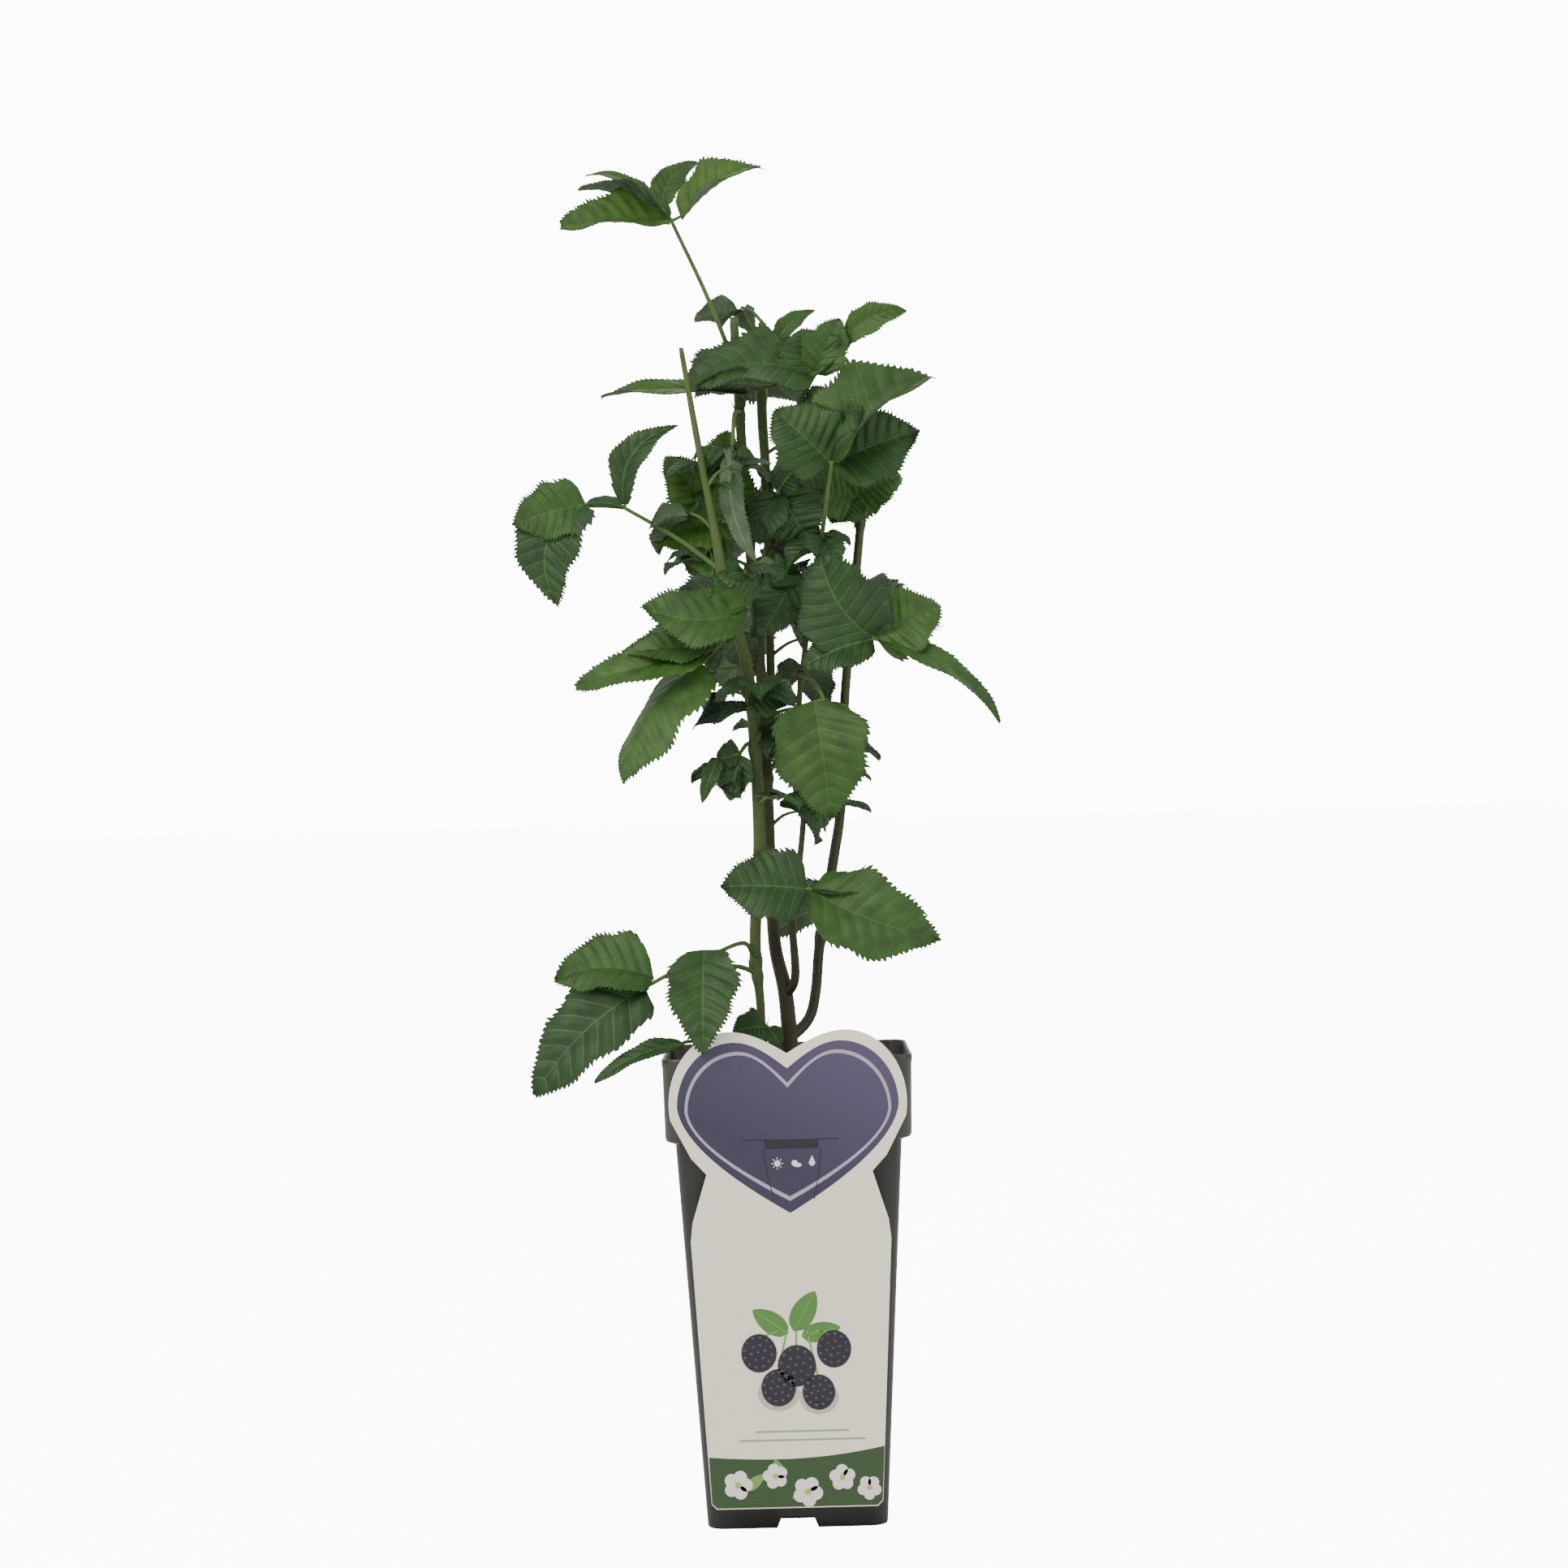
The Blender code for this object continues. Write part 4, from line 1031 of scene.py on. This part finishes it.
def heartOutline(half, top, notch, tip, mid):
    lobe = half * 0.48
    bend = (half * 0.95, mid - (mid - tip) * 0.42)
    right = lobeRise(lobe, notch, top) + arcPoints(lobe, mid, half - lobe, top - mid, 90, 0, 14)
    for i in range(1, 14):              # a quadratic curve down to the tip
        t = i / 14
        right.append(((1 - t) ** 2 * half + 2 * t * (1 - t) * bend[0],
                      (1 - t) ** 2 * mid + 2 * t * (1 - t) * bend[1] + t * t * tip))
    return right + [(0.0, tip)] + leftHalf(right)


def layerFront(layer):          # prints lie on the card in thin layers
    return cardShape["front"] - layer * printLook["layer"]


# A thin flat solid of an outline in the card's plane, lying in front of it at a layer's height
def flatShape(points, layer, thick=None):
    back = layerFront(layer)
    front = back - (thick or printLook["layer"])
    count = len(points)
    area = sum(a[0] * b[1] - b[0] * a[1] for a, b in zip(points, points[1:] + points[:1]))
    if area < 0:
        points = list(reversed(points))
    verts = [(x, front, z) for x, z in points] + [(x, back, z) for x, z in points]
    faces = [tuple(range(count)), tuple(reversed(range(count, 2 * count)))]
    faces += [(i, i + count, (i + 1) % count + count, (i + 1) % count) for i in range(count)]
    return np.array(verts, dtype=float), faces


def ringShape(outer, inner, layer):      # the band between two outlines of one point count
    back = layerFront(layer)
    count = len(outer)
    verts = [(x, y, z) for y in (back - printLook["layer"], back) for x, z in outer + inner]
    faces = []
    for i in range(count):
        j = (i + 1) % count
        faces.append((i, i + count, j + count, j))
        faces.append((i + 2 * count, j + 2 * count, j + 3 * count, i + 3 * count))
        faces.append((i, j, j + 2 * count, i + 2 * count))
        faces.append((i + count, i + 3 * count, j + 3 * count, j + count))
    return np.array(verts, dtype=float), faces


def stripPoints(line, wide):    # a band of even width along an open line
    left, right = [], []
    for i, (x, z) in enumerate(line):
        a, b = line[max(i - 1, 0)], line[min(i + 1, len(line) - 1)]
        dx, dz = b[0] - a[0], b[1] - a[1]
        share = wide / 2 / (math.hypot(dx, dz) or 1)
        left.append((x - dz * share, z + dx * share))
        right.append((x + dz * share, z - dx * share))
    return left + right[::-1]


def leafPrint(x, z, length, wide, angle):
    c, s = math.cos(math.radians(angle)), math.sin(math.radians(angle))
    shares = [i / 10 for i in range(1, 10)]
    side = [(length * t, wide * 1.05 * t ** 0.6 * (1 - t) ** 0.8) for t in shares]
    flat = [(0, 0)] + side + [(length, 0)] + [(a, -b) for a, b in reversed(side)]
    return [(x + a * c - b * s, z + a * s + b * c) for a, b in flat]


def printPiece(name, shapes, paint):
    piece = addPiece(name, shapes, [paint], smooth=False)
    return piece


def buildCard():
    spec = cardShape
    paper = mottledMaterial("satin_card", printLook["paper"], 60, 0.45, 0.04, 0.5, 0.4)
    verts, faces = flatShape(cardOutline(), 0, spec["thick"])
    verts[:, 1] += spec["thick"]
    card = addPiece("care_card_sheet", [(verts, faces)], [paper], smooth=False)
    back = spec["front"] + spec["thick"] - 0.2
    low = potShape["height"] + spec["clear"]
    inside = potShape["wall"] - potShape["collarTopHalf"] + spec["clear"]
    drop = potShape["height"] - spec["hookDrop"]
    profile = [(back, low), (inside, low), (inside, drop), (inside + spec["hookThick"], drop),
               (inside + spec["hookThick"], low + spec["thick"]), (back, low + spec["thick"])]
    rings = [[(x, y, z) for y, z in profile] for x in (-spec["hookHalf"], spec["hookHalf"])]
    hook = addPiece("card_hook", [loftShape(rings)], [paper], smooth=False)
    outward(hook)
    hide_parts("care_card")


# The print on the heart: half width, top, notch, tip and middle of each outline, then x and z
# of the slot, of the lines of the tab and of three signs: a sun, a sun behind a cloud, a drop
heartPrint = {"heart": (41.4, 184, 174, 120, 160), "lineOuter": (38.6, 180.6, 168.6, 124.5, 158.5),
              "lineInner": (37.5, 179.3, 166.8, 126.2, 158.3),
              "slot": [(-9, 144), (11, 144), (11, 147.5), (-9, 147.5)],
              "tab": [[(-17.5, 147.4), (-8.5, 147.4)], [(11.2, 147.4), (18.5, 147.4)],
                      [(-9.6, 144), (-8.2, 134), (-5.9, 125)], [(12, 144), (10.8, 134), (9, 125)]],
              "tabLine": 0.35, "signs": (-4.5, 2.0, 8.5), "signHeight": 138.6, "sign": 1.15,
              "ray": (1.5, 2.2), "rayLine": 0.3, "cloud": (3.1, 137.9, 1.5, 0.8),
              "dropTip": [(7.6, 139.3), (8.5, 141.4), (9.4, 139.3)],
              "rules": [[(-15, 38.6), (20, 38.6)], [(-21, 35.4), (26, 35.4)]], "ruleLine": 0.7}


def buildHeart():
    spec = heartPrint
    printPiece("print_heart", [flatShape(heartOutline(*spec["heart"]), 0)], heartPaint())
    band = ringShape(heartOutline(*spec["lineOuter"]), heartOutline(*spec["lineInner"]), 1)
    outward(printPiece("print_heart_line", [band], printPaint("line")))
    printPiece("print_slot", [flatShape(spec["slot"], 1)], printPaint("ink"))
    printPiece("print_tab_lines", [flatShape(stripPoints(line, spec["tabLine"]), 1)
                                   for line in spec["tab"]], printPaint("ink"))
    high, size = spec["signHeight"], spec["sign"]
    signs = [flatShape(discPoints(x, high, size, size, 24), 1) for x in spec["signs"]]
    for i in range(8):
        c, s = math.cos(i * math.pi / 4), math.sin(i * math.pi / 4)
        ray = [(spec["signs"][0] + r * c, high + r * s) for r in spec["ray"]]
        signs.append(flatShape(stripPoints(ray, spec["rayLine"]), 1))
    signs.append(flatShape(spec["dropTip"], 2))
    signs.append(flatShape(arcPoints(*spec["cloud"], 0, 345, 15), 2))
    printPiece("print_signs", signs, printPaint("petal"))


# A generic sprig: berries (x, z, radius) hang in a loose bunch under leaves (x, z, length,
# width, angle); rings holds the places of the drupelets, as a share of the radius, and how many
sprig = {"berries": [(-13, 68, 7.2), (1, 63, 7.8), (15, 69, 7.0), (-6, 55, 7.0), (9, 53, 6.6)],
         "leaves": [(0, 76, 17, 11, 60), (-2, 75, 16, 10, 145), (3, 74, 15, 9, 12)],
         "rings": ((0, 1), (0.42, 6), (0.82, 12)), "drupelet": 1.35, "rib": 0.35, "stalk": 0.6,
         "seed": 9}


def buildSprig():
    chance = random.Random(sprig["seed"])
    shade = [flatShape(discPoints(x, z - r * 0.3, r * 1.12, r * 0.95, 24), 0)
             for x, z, r in sprig["berries"][3:]]
    printPiece("print_sprig_shadow", shade, printPaint("shadow"))
    leaves = [flatShape(leafPrint(*leaf), 1) for leaf in sprig["leaves"]]
    printPiece("print_sprig_leaves", leaves, printPaint("leaf"))
    ribs = []
    for x, z, length, wide, angle in sprig["leaves"]:
        c, s = math.cos(math.radians(angle)), math.sin(math.radians(angle))
        rib = [(x + length * t * c, z + length * t * s) for t in (0.05, 0.9)]
        ribs.append(flatShape(stripPoints(rib, sprig["rib"]), 2))
    for x, z, r in sprig["berries"]:
        stalk = [(x, z + r * 0.8), (x * 0.5 + 0.5, 76)]
        ribs.append(flatShape(stripPoints(stalk, sprig["stalk"]), 2))
    printPiece("print_sprig_ribs", ribs, printPaint("leafLight"))
    dark, light = [], []
    for x, z, r in sprig["berries"]:
        dark.append(flatShape(discPoints(x, z, r * 0.92, r, 24), 3))
        for share, count in sprig["rings"]:
            for i in range(count):
                angle = 2 * math.pi * i / count + share * 3
                bx = x + r * share * 0.88 * math.cos(angle)
                bz = z + r * share * 0.95 * math.sin(angle)
                size = sprig["drupelet"] * chance.uniform(0.85, 1.1)
                gloss = discPoints(bx - 0.35, bz + 0.4, size * 0.42, size * 0.34, 8)
                dark.append(flatShape(discPoints(bx, bz, size, size, 12), 4))
                light.append(flatShape(gloss, 5))
    printPiece("print_berries", dark, printPaint("berry"))
    printPiece("print_berry_gloss", light, printPaint("berryLight"))


# The band at the card's foot: blossoms (x, z, radius) and leaves on green
bandPrint = {"half": 32.8, "top": 29.5, "sag": 2.6, "end": 5, "margin": 0.2,
             "blossoms": [(-22, 19, 6.0), (-8, 22, 5.2), (4, 16, 6.2), (17, 21, 5.4), (27, 17, 5.0)]}


def buildBand():
    spec = bandPrint
    half, foot = cardShape["footHalf"], cardShape["foot"]
    points = [(spec["half"] * (i / 8 - 1) + spec["margin"],
               spec["top"] - spec["sag"] * math.sin(i / 16 * math.pi * 0.7)
               + spec["end"] * (i / 16) ** 2) for i in range(17)]
    points += [(half - 0.2, foot + 2.2), (half - 2.2, foot + 0.4),
               (2.2 - half, foot + 0.4), (0.2 - half, foot + 2.2)]
    printPiece("print_band", [flatShape(points, 0)], printPaint("band"))
    greens = [flatShape(leafPrint(x + 3, z - 2, 9, 5, 40 + 70 * i), 1)
              for i, (x, z, r) in enumerate(spec["blossoms"][:4])]
    greens = [shape for shape in greens if shape[0][:, 2].min() > foot + 1
              and np.abs(shape[0][:, 0]).max() < half - 1]
    printPiece("print_band_leaves", greens, printPaint("leafLight"))
    petals, eyes = [], []
    for number, (x, z, r) in enumerate(spec["blossoms"]):
        for i in range(5):
            angle = math.radians(72 * i + 31 * number)
            px, pz = x + r * 0.5 * math.cos(angle), z + r * 0.5 * math.sin(angle)
            petals.append(flatShape(discPoints(px, pz, r * 0.42, r * 0.42, 18), 2 + i % 2))
        eyes.append(flatShape(discPoints(x, z, r * 0.2, r * 0.2, 12), 4))
    printPiece("print_petals", petals, printPaint("petal"))
    printPiece("print_eyes", eyes, printPaint("eye"))


def buildRules():               # two plain lines where the lettering would be
    lines = [flatShape(stripPoints(line, heartPrint["ruleLine"]), 0) for line in heartPrint["rules"]]
    printPiece("print_rules", lines, printPaint("rule"))


buildCard()
buildHeart()
buildSprig()
buildBand()
buildRules()
print("care card")


print("done")
